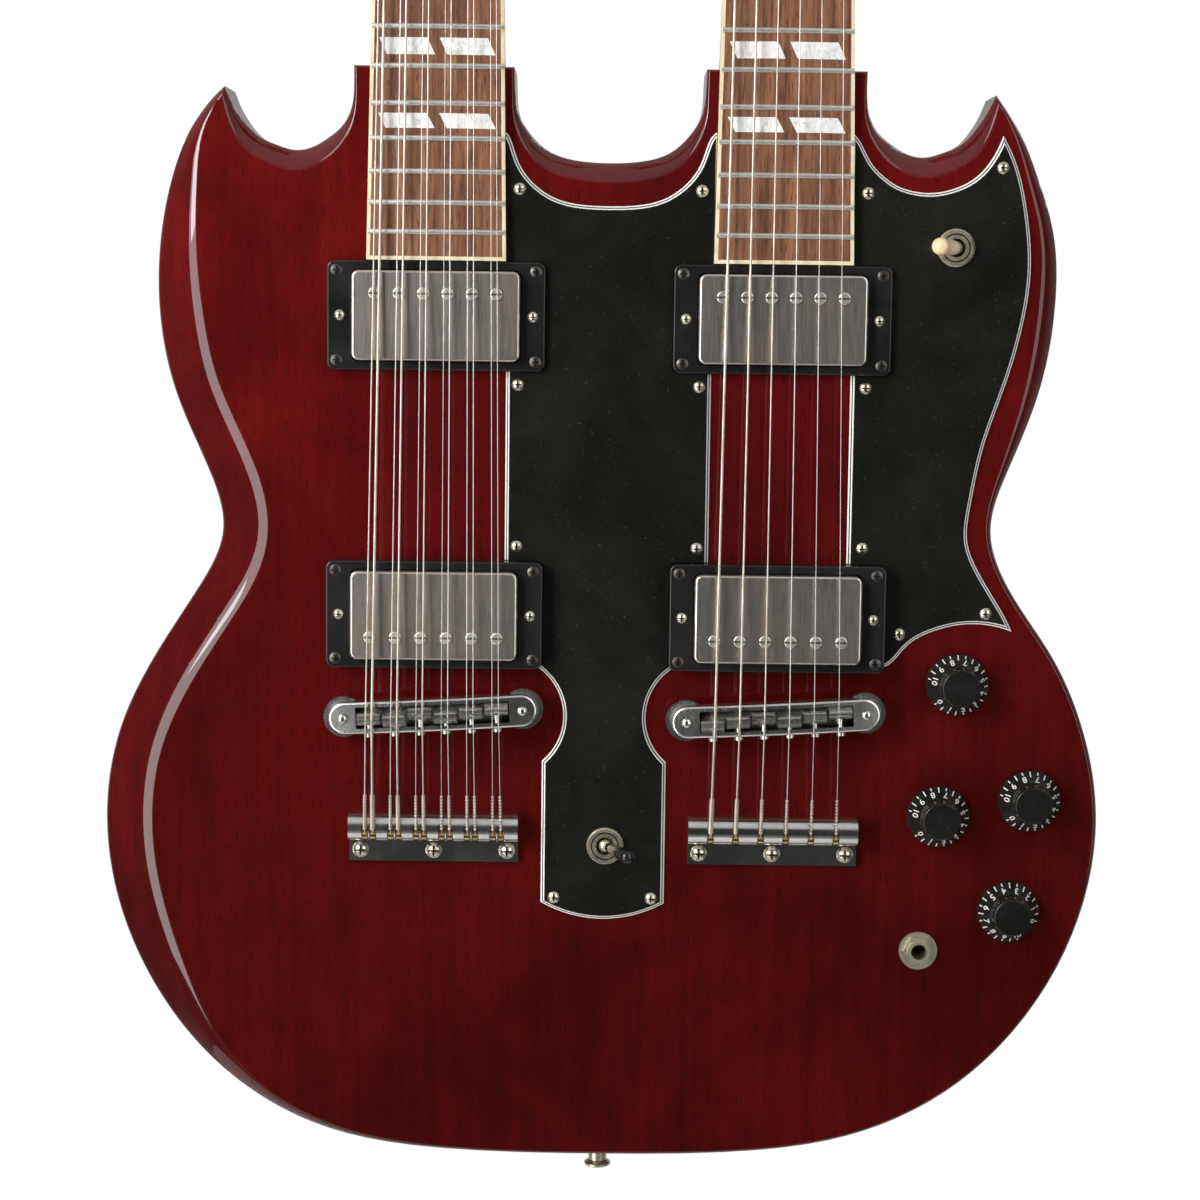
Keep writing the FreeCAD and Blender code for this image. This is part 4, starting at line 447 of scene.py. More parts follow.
def makeMetal(name, settings):
    material, tree, shader = startMaterial(name, Metallic=1.0)
    wear = placeGroup(tree, metalWear, Cloud_Scale=settings.get("cloudScale", 90.0),
                      Pit_Scale=settings.get("pitScale", 1500.0), Rub_Scale=settings.get("rubScale", 2200.0))
    base = mixOf(tree, wear.outputs["Cloud"], settings["dark"], settings["light"])
    pits = mathOf(tree, "MULTIPLY", wear.outputs["Pit"], settings.get("pits", 0.3))
    base = mixOf(tree, pits, base, settings.get("pit", colour(0.10, 0.08, 0.06)))
    if "recess" in settings:
        # painted shade: slots, grooves and corners that the ambient occlusion finds sheltered get a darker
        # base colour
        reach, fullShadeBelow, noShadeAbove = settings["recess"]
        occlusion = addNode(tree, "ShaderNodeAmbientOcclusion", {"Distance": reach}, only_local=True,
                          samples=8)
        unshaded = rangeOf(tree, occlusion.outputs["AO"], fullShadeBelow, noShadeAbove)
        base = mixOf(tree, unshaded, settings.get("dirt", colour(0.030, 0.024, 0.018)), base)
    tree.links.new(base, shader.inputs["Base Color"])
    low, high = settings["roughness"]
    rough = mathOf(tree, "ADD", rangeOf(tree, wear.outputs["Cloud"], 0, 1, high, low),
                   mathOf(tree, "MULTIPLY", wear.outputs["Rub"], settings.get("rub", 0.04)))
    tree.links.new(rough, shader.inputs["Roughness"])
    addBump(tree, shader, wear.outputs["Pit"], settings.get("pitDepth", -0.00001), 0.5)
    return material


agedNickel = makeMetal("agedNickel", {
    "dark": colour(0.60, 0.52, 0.45), "light": colour(0.84, 0.80, 0.75), "roughness": (0.27, 0.34),
    "pits": 0.12, "rub": 0.05, "cloudScale": 42.0})
# the recess values give how far the occlusion looks, and the occlusion levels where the painted shade in
# recesses is full and where it ends
screwNickel = makeMetal("screwNickel", {
    "dark": colour(0.62, 0.56, 0.44), "light": colour(0.86, 0.81, 0.68), "roughness": (0.22, 0.34),
    "pits": 0.3, "cloudScale": 300.0, "recess": (0.0012, 0.42, 0.80)})
blackenedScrew = makeMetal("blackenedScrew", {
    "dark": colour(0.05, 0.045, 0.04), "light": colour(0.12, 0.11, 0.10), "roughness": (0.30, 0.45),
    "pits": 0.4, "cloudScale": 300.0, "recess": (0.0012, 0.42, 0.80)})
bridgeChrome = makeMetal("bridgeChrome", {
    "dark": colour(0.68, 0.67, 0.64), "light": colour(0.86, 0.86, 0.84), "roughness": (0.14, 0.22),
    "pits": 0.06, "cloudScale": 60.0, "recess": (0.0025, 0.30, 0.70)})
bridgeNickel = makeMetal("bridgeNickel", {
    "dark": colour(0.66, 0.65, 0.61), "light": colour(0.88, 0.88, 0.86), "roughness": (0.19, 0.27),
    "pits": 0.0, "pitDepth": 0.0, "cloudScale": 90.0, "recess": (0.006, 0.55, 0.88)})
saddleNickel = makeMetal("saddleNickel", {
    "dark": colour(0.72, 0.70, 0.64), "light": colour(0.90, 0.89, 0.86), "roughness": (0.24, 0.32),
    "pits": 0.0, "pitDepth": 0.0, "cloudScale": 200.0, "recess": (0.0025, 0.30, 0.68)})
switchNickel = makeMetal("switchNickel", {
    "dark": colour(0.62, 0.56, 0.43), "light": colour(0.84, 0.78, 0.64), "roughness": (0.28, 0.42),
    "pits": 0.25, "cloudScale": 220.0, "recess": (0.0008, 0.35, 0.75)})
poleNickel = makeMetal("poleNickel", {
    "dark": colour(0.80, 0.76, 0.66), "light": colour(0.92, 0.89, 0.82), "roughness": (0.34, 0.44),
    "pits": 0.1, "cloudScale": 300.0, "recess": (0.0010, 0.40, 0.80)})
jackNickel = makeMetal("jackNickel", {
    "dark": colour(0.78, 0.72, 0.55), "light": colour(0.94, 0.89, 0.73), "roughness": (0.34, 0.42),
    "pits": 0.1, "cloudScale": 260.0, "recess": (0.0020, 0.30, 0.70)})
tunerNickel = makeMetal("tunerNickel", {
    "dark": colour(0.58, 0.56, 0.50), "light": colour(0.80, 0.78, 0.74), "roughness": (0.12, 0.24),
    "pits": 0.2, "cloudScale": 120.0})
fretMetal = makeMetal("fretMetal", {
    "dark": colour(0.80, 0.79, 0.70), "light": colour(0.92, 0.91, 0.84), "roughness": (0.36, 0.42),
    "pits": 0.0, "pitDepth": 0.0, "cloudScale": 260.0})
stringSteel = makeMetal("stringSteel", {
    "dark": colour(0.66, 0.64, 0.60), "light": colour(0.80, 0.78, 0.74), "roughness": (0.36, 0.44),
    "pits": 0.0, "pitDepth": 0.0, "cloudScale": 90.0})
woundSteel = makeMetal("woundSteel", {
    "dark": colour(0.56, 0.50, 0.42), "light": colour(0.78, 0.72, 0.64), "roughness": (0.36, 0.44),
    "pits": 0.0, "pitDepth": 0.0, "cloudScale": 90.0})
brass = makeMetal("brass", {
    "dark": colour(0.52, 0.36, 0.13), "light": colour(0.86, 0.66, 0.32), "roughness": (0.16, 0.28),
    "cloudScale": 400.0})
plainSteel = makeMetal("plainSteel", {
    "dark": colour(0.34, 0.34, 0.33), "light": colour(0.55, 0.55, 0.54), "roughness": (0.28, 0.42)})
print("materials made")


# the finish of each solid
nodeFinishes = {
    "body": cherryLacquer, "neck_twelve": neckLacquer, "neck_six": neckLacquer,
    "fretboard_twelve": rosewood, "fretboard_six": rosewood, "frets": fretMetal, "inlays": pearl,
    "bindings": creamBinding, "string_nuts": bone, "headplates": headplateBlack, "truss_rods": plainSteel,
    "truss_rod_covers": guardPlain, "strings": stringSteel, "ball_ends": brass, "guard_main": guardPlies,
    "guard_wing": guardPlies, "small_screws": screwNickel, "pickup_rings": ringBlack,
    "pickup_covers": agedNickel, "pickup_coils": coilBlack, "pole_screws": poleNickel,
    "height_screws": screwNickel, "bridge_twelve": bridgeNickel, "bridge_six": bridgeNickel,
    "bridge_saddles": saddleNickel, "bridge_posts": bridgeNickel, "tailpiece_twelve": bridgeChrome,
    "tailpiece_six": bridgeChrome, "toggle_switches": switchNickel, "control_pots": plainSteel,
    "output_jack": jackNickel, "strap_buttons": switchNickel, "rear_cover": guardPlain,
    "tuner_housings": tunerNickel, "string_posts": tunerNickel, "middle_switch_lever": switchBlack,
    "wing_switch_lever": switchCream}
for nodeName, finish in nodeFinishes.items():
    dressNode(nodeName, finish)
for nodeName in cadNodes:
    if nodeName.startswith("tuner_button"):
        dressNode(nodeName, tunerPlastic)
    if nodeName.startswith("control_knob"):
        dressNode(nodeName, knobBlack)
print("solids dressed")


# copies of solids that get a smoother skin or more than one finish

def mergedCopy(nodeName, pieceName):
    source = cadNodes[nodeName]
    deselectAll()
    source.select_set(True)
    bpy.context.view_layer.objects.active = source
    bpy.ops.object.duplicate()
    piece = newest(pieceName)
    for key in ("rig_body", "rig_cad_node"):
        del piece[key]
    piece.parent = None
    makeActive(piece)
    bpy.ops.mesh.customdata_custom_splitnormals_clear()
    bpy.ops.object.mode_set(mode="EDIT")
    bpy.ops.mesh.select_all(action="SELECT")
    bpy.ops.mesh.remove_doubles(threshold=0.000004)
    bpy.ops.object.mode_set(mode="OBJECT")
    return piece


def finishCopy(piece, material, body, nodeName, angle, weigh=True):
    makeActive(piece)
    bpy.ops.object.shade_smooth_by_angle(angle=math.radians(angle))
    if weigh:
        weighted = piece.modifiers.new("WeightedNormal", "WEIGHTED_NORMAL")
        weighted.keep_sharp = True
        weighted.weight = 60
        applyModifiers(piece)
    dress(piece, material)
    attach(piece, body)
    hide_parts(nodeName)


for nodeName, pieceName in (("neck_twelve", "neckWoodTwelve"), ("neck_six", "neckWoodSix")):
    finishCopy(mergedCopy(nodeName, pieceName), neckLacquer, "guitar", nodeName, 32)


# the body's outline, as shares of its half width and its length, each with the bevel's share of its width
bodyPlan = {
    "halfWidth": 208.0, "length": 454.0, "bevel": 19.5, "drop": 11.5, "reach": 5.0, "spacing": 0.25,
    "slopeDrop": 0.81, "slopeRun": 0.80,  # the straight middle of the bevel, as shares of its drop and width
    "flatFrom": 1.16, "ease": 10.1, "easeLimits": (0.5, 1.1),  # where the top is flat, and how soon it turns
    "roundShare": 0.05,  # the outer share of the bevel, which rounds into the side wall
    "nearest": 24.4, "past": 1.2, "slack": 0.5, "cornerSlack": 0.6, "likeness": 0.6,  # which faces are skin
    "wallShare": 1.05, "wallSlack": 0.1, "wallReach": 0.4,  # which points are on the side wall
    "cutaway": [(0.500, 1.000, 0.05), (0.500, 0.980, 0.06), (0.505, 0.964, 0.10), (0.524, 0.948, 0.22),
                (0.553, 0.937, 0.36), (0.589, 0.928, 0.43), (0.622, 0.926, 0.45), (0.654, 0.930, 0.43),
                (0.688, 0.937, 0.40), (0.719, 0.952, 0.30), (0.738, 0.966, 0.18), (0.7524, 0.9806, 0.08)],
    "middle": [(0.1875, 1.000, 0.05), (0.1856, 0.978, 0.06), (0.179, 0.960, 0.12), (0.1606, 0.945, 0.24),
               (0.118, 0.927, 0.38), (0.059, 0.919, 0.42), (0.0, 0.9174, 0.43)],
    "left": [(-0.7524, 0.9806, 0.08), (-0.811, 0.952, 0.27), (-0.858, 0.907, 0.56), (-0.8875, 0.841, 0.80),
             (-0.8885, 0.775, 0.93), (-0.858, 0.707, 0.95), (-0.796, 0.639, 0.97), (-0.766, 0.5815, 0.97),
             (-0.8185, 0.526, 0.95), (-0.902, 0.466, 0.95), (-0.973, 0.399, 0.97), (-1.004, 0.324, 1.0),
             (-0.987, 0.242, 1.0), (-0.918, 0.160, 0.87), (-0.786, 0.0815, 0.49), (-0.579, 0.024, 0.23),
             (-0.298, 0.0028, 0.11), (0.0, 0.0, 0.10)],
    "right": [(0.279, 0.0035, 0.10), (0.519, 0.0216, 0.10), (0.721, 0.0683, 0.10), (0.875, 0.143, 0.10),
              (0.969, 0.2335, 0.10), (0.996, 0.326, 0.10), (0.965, 0.405, 0.10), (0.897, 0.4747, 0.10),
              (0.810, 0.534, 0.10), (0.767, 0.590, 0.12), (0.798, 0.643, 0.20), (0.858, 0.716, 0.35),
              (0.8856, 0.797, 0.39), (0.877, 0.859, 0.33), (0.839, 0.912, 0.25), (0.8005, 0.950, 0.16),
              (0.7524, 0.9806, 0.08)]}


def flipped(rows):
    return [(-across, up, bevel) for across, up, bevel in reversed(rows)]


def curveThrough(rows, plan):
    # a smooth run through the rows, in metres: place, inward direction, bevel width, its drop and its slope
    scale = numpy.array([plan["halfWidth"], plan["length"], plan["bevel"]]) * mm
    points = numpy.array(rows) * scale
    gaps = numpy.hypot(*numpy.diff(points[:, :2], axis=0).T)
    knots = numpy.concatenate([[0.0], numpy.cumsum(gaps)])
    count = len(points)
    system = numpy.eye(count)
    right = numpy.zeros((count, 3))
    slopes = numpy.diff(points, axis=0) / gaps[:, None]
    for row in range(1, count - 1):
        system[row, row - 1:row + 2] = gaps[row - 1], 2 * (gaps[row - 1] + gaps[row]), gaps[row]
        right[row] = 6 * (slopes[row] - slopes[row - 1])
    bends = numpy.linalg.solve(system, right)
    along = numpy.linspace(0.0, knots[-1], int(knots[-1] / (plan["spacing"] * mm)) + 2)
    span = numpy.clip(numpy.searchsorted(knots, along) - 1, 0, count - 2)
    gap = gaps[span][:, None]
    before = (along - knots[span])[:, None]
    after = gap - before
    places = (bends[span] * after ** 3 + bends[span + 1] * before ** 3) / (6 * gap)
    places += (points[span] / gap - bends[span] * gap / 6) * after
    places += (points[span + 1] / gap - bends[span + 1] * gap / 6) * before
    steps = numpy.gradient(places[:, :2], axis=0)
    steps /= numpy.hypot(steps[:, 0], steps[:, 1])[:, None]
    widths = places[:, 2]
    drops = plan["drop"] * mm * (1 - numpy.exp(-widths / (plan["reach"] * mm)))
    slopes = numpy.arctan2(plan["slopeDrop"] * drops, plan["slopeRun"] * widths)
    columns = (places[:, 0], places[:, 1], -steps[:, 1], steps[:, 0], widths, drops, slopes)
    return numpy.stack(columns, axis=1).tolist()


def treeOf(rows):
    tree = kdtree.KDTree(len(rows))
    for index, row in enumerate(rows):
        tree.insert((row[0], 0.0, row[1]), index)
    tree.balance()
    return tree


def planOutline(plan):
    # the outline as runs between its sharp corners, and all their rows together
    cutaway, middle = plan["cutaway"], plan["middle"]
    shoulder = [cutaway[0], middle[0]]
    tables = [list(reversed(flipped(cutaway))), plan["left"] + plan["right"], list(reversed(cutaway)),
              shoulder, middle + flipped(middle)[1:], flipped(shoulder)]
    runs = [curveThrough(rows, plan) for rows in tables]
    rows = [row for run in runs for row in run]
    runOf = [number for number, run in enumerate(runs) for row in run]
    trees = [treeOf(run) for run in runs]
    return {"rows": rows, "runOf": runOf, "tree": treeOf(rows), "runs": runs, "trees": trees}


def outlineRow(outline, place, run=None):
    # the nearest row of the outline, or of one run of it
    index = outline["tree"].find((place.x, 0.0, place.z))[1]
    if run is None or outline["runOf"][index] == run:
        return outline["rows"][index]
    return outline["runs"][run][outline["trees"][run].find((place.x, 0.0, place.z))[1]]


def skinNormal(row, place, plan):
    # the smooth normal of the bevelled edge, and how far in the place lies from the outline and the bevel
    x, z, inX, inZ, width, drop, slope = row
    inset = (place.x - x) * inX + (place.z - z) * inZ
    share = inset / width
    if share > plan["roundShare"]:
        least, most = plan["easeLimits"]
        ease = min(max(plan["ease"] * mm / width, least), most)
        rest = 1 - min(max((plan["flatFrom"] - share) / ease, 0.0), 1.0)
        tilt = slope * (1 - rest * rest)
    else:
        tilt = slope + (math.pi / 2 - slope) * (1 - max(share, 0.0) / plan["roundShare"])
    side = -1.0 if place.y < 0 else 1.0
    flat = math.sin(tilt)
    normal = Vector((-inX * flat, side * math.cos(tilt), -inZ * flat))
    return normal, inset, inset - plan["past"] * width


def skinCorners(piece, outline, plan):
    # for every face of the bevelled edge, the smooth normals of its corners
    found = {}
    mesh = piece.data
    slack = plan["slack"] * mm
    for face in mesh.polygons:
        centre = face.center
        index, distance = outline["tree"].find((centre.x, 0.0, centre.z))[1:]
        if distance > plan["nearest"] * mm:
            continue
        middle, inset, past = skinNormal(outline["rows"][index], centre, plan)
        if past > slack or inset < -slack or middle.dot(face.normal) < plan["likeness"]:
            continue
        normals = []
        for vertex in face.vertices:
            place = mesh.vertices[vertex].co
            row = outlineRow(outline, place, outline["runOf"][index])
            normal, inset, past = skinNormal(row, place, plan)
            if past > plan["cornerSlack"] * mm:
                break
            normals.append(normal)
        if len(normals) == len(face.vertices):
            found[face.index] = normals
    return found


def roundSideWall(piece, skin, outline, plan):
    # the side wall's points move out onto the smooth outline
    mesh = piece.data
    for index in {index for face in skin for index in mesh.polygons[face].vertices}:
        place = mesh.vertices[index].co
        x, z, inX, inZ, width, drop, slope = outlineRow(outline, place)
        inset = (place.x - x) * inX + (place.z - z) * inZ
        wall = backY - plan["wallShare"] * drop + plan["wallSlack"] * mm
        if abs(place.y) < wall and abs(inset) < plan["wallReach"] * mm:
            place.x -= inX * inset
            place.z -= inZ * inset


def makeBodyWood(plan):
    piece = mergedCopy("body", "bodyWood")
    outline = planOutline(plan)
    skin = skinCorners(piece, outline, plan)
    for halving in range(2):
        bpy.ops.object.mode_set(mode="EDIT")
        selectNumbered(piece, skin)
        bpy.ops.mesh.subdivide(number_cuts=1)
        bpy.ops.object.mode_set(mode="OBJECT")
        roundSideWall(piece, skinCorners(piece, outline, plan), outline, plan)
        skin = skinCorners(piece, outline, plan)
    bpy.ops.object.shade_smooth()
    mesh = piece.data
    normals = [None] * len(mesh.loops)
    for face in mesh.polygons:
        corners = skin.get(face.index, [face.normal] * face.loop_total)
        for corner, normal in zip(face.loop_indices, corners):
            normals[corner] = normal.copy()
    mesh.normals_split_custom_set(normals)
    print("body skin faces", len(skin), "of", len(mesh.polygons))
    dress(piece, cherryLacquer)
    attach(piece, "guitar")
    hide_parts("body")


makeBodyWood(bodyPlan)


def splitCopy(nodeName, pieceName, restName, test):
    # two pieces of one solid set: the faces for which the test holds, and the rest
    rest = mergedCopy(nodeName, restName)
    bpy.ops.object.mode_set(mode="EDIT")
    selectFaces(rest, test)
    bpy.ops.mesh.separate(type="SELECTED")
    bpy.ops.object.mode_set(mode="OBJECT")
    piece = [found for found in bpy.context.selected_objects if found != rest][0]
    return renamed(piece, pieceName), rest


ringScrewSettings = {
    "pickups": [(twelveX, 353.51), (twelveX, 231.5), (sixX, 353.51), (sixX, 231.5)],
    "across": 40.55, "up": 18.2, "reach": 3.0}


def inRingCorner(place, normal, settings=ringScrewSettings):
    for across, up in settings["pickups"]:
        sideways = abs(abs(place.x - across * mm) - settings["across"] * mm)
        along = abs(abs(place.z - up * mm) - settings["up"] * mm)
        if max(sideways, along) < settings["reach"] * mm:
            return True
    return False


ringScrews, otherScrews = splitCopy("small_screws", "ringScrews", "plateScrews", inRingCorner)
finishCopy(ringScrews, blackenedScrew, "guitar", "small_screws", 30)
finishCopy(otherScrews, screwNickel, "guitar", "small_screws", 30)


leverSettings = {
    "middle_switch": {"pivot": (1.5, -20.6, 134.88), "lean": 22.0, "tipStart": 4.55, "finish": switchBlack,
                      "tip": "middleSwitchTip", "rod": "middleSwitchRod", "slot": "switch_black"},
    "wing_switch": {"pivot": (140.9, -20.6, 383.49), "lean": -22.0, "tipStart": 4.55, "finish": switchCream,
                    "tip": "wingSwitchTip", "rod": "wingSwitchRod", "slot": "switch_cream"}}


def makeLever(body, settings):
    # the plastic tip is everything beyond its foot, measured along the leaning lever
    lean = math.radians(settings["lean"])
    direction = Vector((math.sin(lean), -math.cos(lean), 0))
    pivot = Vector(settings["pivot"]) * mm

    def onTip(place, normal):
        return (place - pivot).dot(direction) > settings["tipStart"] * mm

    tip, rod = splitCopy(body + "_lever", settings["tip"], settings["rod"], onTip)
    finishCopy(tip, settings["finish"], body, body + "_lever", 35)
    finishCopy(rod, switchNickel, body, body + "_lever", 35)


for leverBody, leverValues in leverSettings.items():
    makeLever(leverBody, leverValues)


stringSettings = {"bar": (139.8, 143.6), "saddle": (186.0, 196.0), "wound": 0.6}


def middleOf(points, heights):
    # the middle of the points between two heights, and how wide they lie across, in millimetres
    low, high = heights
    chosen = [point / mm for point in points if low < point.z / mm < high]
    widest = max(point.x for point in chosen) - min(point.x for point in chosen)
    return sum(chosen, Vector()) / len(chosen), widest


def readString(part, settings):
    # where one string passes the tailpiece bar and its saddle, and how thick it is
    points = [vertex.co for vertex in part.data.vertices]
    saddle, thickness = middleOf(points, settings["saddle"])
    bar = middleOf(points, settings["bar"])[0]
    return {"bar": bar, "saddle": saddle, "thickness": thickness}


def makeStrings(settings):
    # the thick strings are wound and the thin ones are plain; the strings' places are kept for their twists
    mergedCopy("strings", "plainStrings")
    bpy.ops.object.mode_set(mode="EDIT")
    bpy.ops.mesh.separate(type="LOOSE")
    bpy.ops.object.mode_set(mode="OBJECT")
    parts = {"woundStrings": [], "plainStrings": []}
    runs = []
    for part in list(bpy.context.selected_objects):
        run = readString(part, settings)
        runs.append(run)
        parts["woundStrings" if run["thickness"] > settings["wound"] else "plainStrings"].append(part)
    for name, finish in (("woundStrings", woundSteel), ("plainStrings", stringSteel)):
        finishCopy(joined(parts[name], name), finish, "guitar", "strings", 70, weigh=False)
    return sorted(runs, key=lambda run: run["bar"].x)


stringRuns = makeStrings(stringSettings)
print("copies made")


# bright rounded tops on the bridge studs
studSettings = {"places": [(-106.74, 189.04), (-33.06, 193.16), (34.26, 189.04), (107.94, 193.16)],
                "top": 34.2, "foot": 33.9, "radius": 1.85,
                "dome": [(1.85, 0.1), (1.76, 0.34), (1.48, 0.32), (1.02, 0.24), (0.5, 0.13), (0.16, 0.03)]}


def makeStudDome(settings):
    across, up = settings["places"][0]
    depth = (settings["top"] - settings["foot"]) * mm
    centre = Vector((across * mm, -(settings["top"] + settings["foot"]) / 2 * mm, up * mm))
    deselectAll()
    bpy.ops.mesh.primitive_cylinder_add(vertices=32, radius=settings["radius"] * mm, depth=depth,
                                        location=centre, rotation=(math.pi / 2, 0, 0))
    piece = newest("studDome1")
    bakePlace(piece)
    bpy.ops.object.mode_set(mode="EDIT")
    selectFaces(piece, lambda place, normal: normal.y < -0.9)
    front = Vector((centre.x, -settings["top"] * mm, centre.z))
    steps = [(radius * mm, distance * mm) for radius, distance in settings["dome"]]
    growAlong(forward, front, settings["radius"] * mm, steps)
    bpy.ops.object.mode_set(mode="OBJECT")
    return piece


def makeStudDomes(settings):
    first = makeStudDome(settings)
    start = Vector((settings["places"][0][0], 0, settings["places"][0][1])) * mm
    domes = [first]
    for number, (across, up) in enumerate(settings["places"][1:]):
        move = Matrix.Translation(Vector((across, 0, up)) * mm - start)
        domes.append(placedCopy(first, "studDome%d" % (number + 2), move))
    for dome in domes:
        finishPiece(dome, bridgeChrome, "guitar", angle=50)


makeStudDomes(studSettings)
print("stud tops rounded")


# the twists at the strings' ball ends, and the turns round their posts
wrapSettings = {"barHeight": 142.3, "barDepth": -28.8, "wire": 0.25, "pitch": 1.4, "turns": 11, "start": 0.6,
                "lean": 48.0, "sides": (8, 4)}
postSettings = {
    "origin": (-3.39, 822.43), "lean": 16.2, "first": 46.0,  # the headstocks' foot, slope and first post
    "waist": 2.3, "height": 9.0, "waistLow": 6.5, "turns": 4, "spacing": 1.01, "sides": (20, 6),
    "heads": [{"axis": twelveX, "rows": 6, "pitch": 31.0, "across": 24.55, "spread": 0.843},
              {"axis": sixX, "rows": 3, "pitch": 39.0, "across": 24.59, "spread": 1.826}]}


def ringLoop(major, minor, centre, axis, sides):
    # one turn of wire round an axis
    deselectAll()
    bpy.ops.mesh.primitive_torus_add(major_radius=major, minor_radius=minor, major_segments=sides[0],
                                     minor_segments=sides[1], location=(0, 0, 0))
    loop = bpy.context.object
    turn = axis.to_track_quat("Z", "Y").to_matrix().to_4x4()
    loop.matrix_world = Matrix.Translation(centre) @ turn
    bakePlace(loop)
    return loop


def loopRow(first, step, count):
    # a turn and its copies along a line
    return [first] + [placedCopy(first, "loop", Matrix.Translation(step * turn)) for turn in range(1, count)]


def makeBallWraps(runs, settings):
    # the twisted end of each string, above the bar that holds its ball
    loops = []
    wire = settings["wire"] * mm
    for run in runs:
        radius = run["thickness"] / 2
        start = Vector((run["bar"].x, settings["barDepth"] - radius, settings["barHeight"]))
        along = (run["saddle"] - start).normalized()
        leaning = Matrix.Rotation(math.radians(settings["lean"]), 3, "X") @ along
        centre = (start + along * settings["start"]) * mm
        first = ringLoop(radius * mm + wire, wire, centre, leaning, settings["sides"])
        loops += loopRow(first, along * settings["pitch"] * mm, settings["turns"])
    wraps = joined(loops, "stringWraps")
    finishPiece(wraps, woundSteel, "guitar", angle=60)


def makePostWindings(runs, settings):
    # a few turns of each string round its post, outer strings on the lowest posts
    loops = []
    lean = math.radians(settings["lean"])
    up = Vector((0, math.sin(lean), math.cos(lean)))
    out = Vector((0, -math.cos(lean), math.sin(lean)))
    waiting = list(runs)
    for head in settings["heads"]:
        rows = head["rows"]
        for index in range(2 * rows):
            radius = waiting.pop(0)["thickness"] / 2
            row = min(index, 2 * rows - 1 - index)
            side = -1 if index < rows else 1
            across = side * (head["across"] + head["spread"] * row)
            foot = Vector((head["axis"] + across, settings["origin"][0], settings["origin"][1]))
            centre = foot + up * (settings["first"] + head["pitch"] * row) + out * settings["height"]
            room = settings["height"] - settings["waistLow"] - radius
            turns = min(1 + int(room / (2 * radius)), settings["turns"])
            major = (settings["waist"] + radius) * mm
            first = ringLoop(major, radius * mm, centre * mm, out, settings["sides"])
            loops += loopRow(first, -out * 2 * radius * settings["spacing"] * mm, turns)
    windings = joined(loops, "postWindings")
    finishPiece(windings, stringSteel, "guitar", angle=60)


makeBallWraps(stringRuns, wrapSettings)
makePostWindings(stringRuns, postSettings)
print("strings wound")


# the control knobs with their dials
knobSettings = {
    "places": [(146.70, 204.21), (140.19, 148.69), (178.01, 155.72), (170.60, 108.60)],
    "turns": [0.0, 0.0, 0.0, 121.6],  # how far each dial is turned, in degrees
    "rim": 12.8, "foot": 0.8, "rimTop": 2.4, "shoulder": 8.7, "shoulderTop": 7.4,
    "crown": [(8.7, 5.0), (8.2, 0.8), (7.95, 1.2), (7.8, 1.6), (7.7, 2.35), (7.58, 0.3), (7.3, 0.15),
              (6.5, -0.08)],  # each ring's radius, and how far it stands out from the one before
    "edgeRound": 0.22, "edgeAngle": 38.0,
    "firstAngle": 221.0, "step": 30.7, "highest": 10,
    "digitRadius": 10.1, "digitSize": 4.3, "digitWidth": 0.86, "digitWeight": 0.05, "digitRise": 0.07,
    "longTick": (10.7, 12.5), "shortTick": (11.5, 12.5),
    "tickWidth": 0.5, "tickRise": 0.16, "tickRound": 0.04}


def knobFoot(settings, index):
    # the point of the front face under the middle of a knob
    across, up = settings["places"][index]
    return Vector((across * mm, frontY, up * mm))


def skirtSlope(settings):
    return settings["rim"] - settings["shoulder"], settings["shoulderTop"] - settings["rimTop"]


def onSkirt(settings, angle, radius):
    # a place on the first knob's skirt: across it, up its slope towards the middle, and out of it
    turn = math.radians(angle)
    outward = Vector((math.cos(turn), 0, math.sin(turn)))
    run, rise = skirtSlope(settings)
    up = (forward * rise - outward * run).normalized()
    out = (outward * rise + forward * run).normalized()
    height = settings["rimTop"] + (settings["rim"] - radius) / run * rise
    centre = knobFoot(settings, 0) + (outward * radius + forward * height) * mm
    return Matrix.Translation(centre) @ Matrix((up.cross(out), up, out)).transposed().to_4x4()


def makeKnobCap(settings):
    start = knobFoot(settings, 0)
    low, high = settings["foot"] * mm, settings["rimTop"] * mm
    centre = start + forward * (low + high) / 2
    deselectAll()
    bpy.ops.mesh.primitive_cylinder_add(vertices=96, radius=settings["rim"] * mm, depth=high - low,
                                        location=centre, rotation=(math.pi / 2, 0, 0))
    piece = newest("knobCap1")
    bakePlace(piece)
    bpy.ops.object.mode_set(mode="EDIT")
    selectFaces(piece, lambda place, normal: normal.y < -0.9)
    steps = [(radius * mm, distance * mm) for radius, distance in settings["crown"]]
    growAlong(forward, start + forward * high, settings["rim"] * mm, steps)
    bpy.ops.object.mode_set(mode="OBJECT")
    bevel = piece.modifiers.new("Bevel", "BEVEL")
    bevel.width = settings["edgeRound"] * mm
    bevel.segments = 2
    bevel.limit_method = "ANGLE"
    bevel.angle_limit = math.radians(settings["edgeAngle"])
    applyModifiers(piece)
    return piece


def makeDigit(settings, number):
    deselectAll()
    bpy.ops.object.text_add(location=(0, 0, 0))
    text = bpy.context.object
    text.data.body = str(number)
    text.data.align_x = "CENTER"
    text.data.align_y = "CENTER"
    text.data.size = settings["digitSize"] * mm
    text.data.offset = settings["digitWeight"] * mm
    text.data.extrude = settings["digitRise"] * mm
    bpy.ops.object.convert(target="MESH")
    return bpy.context.object


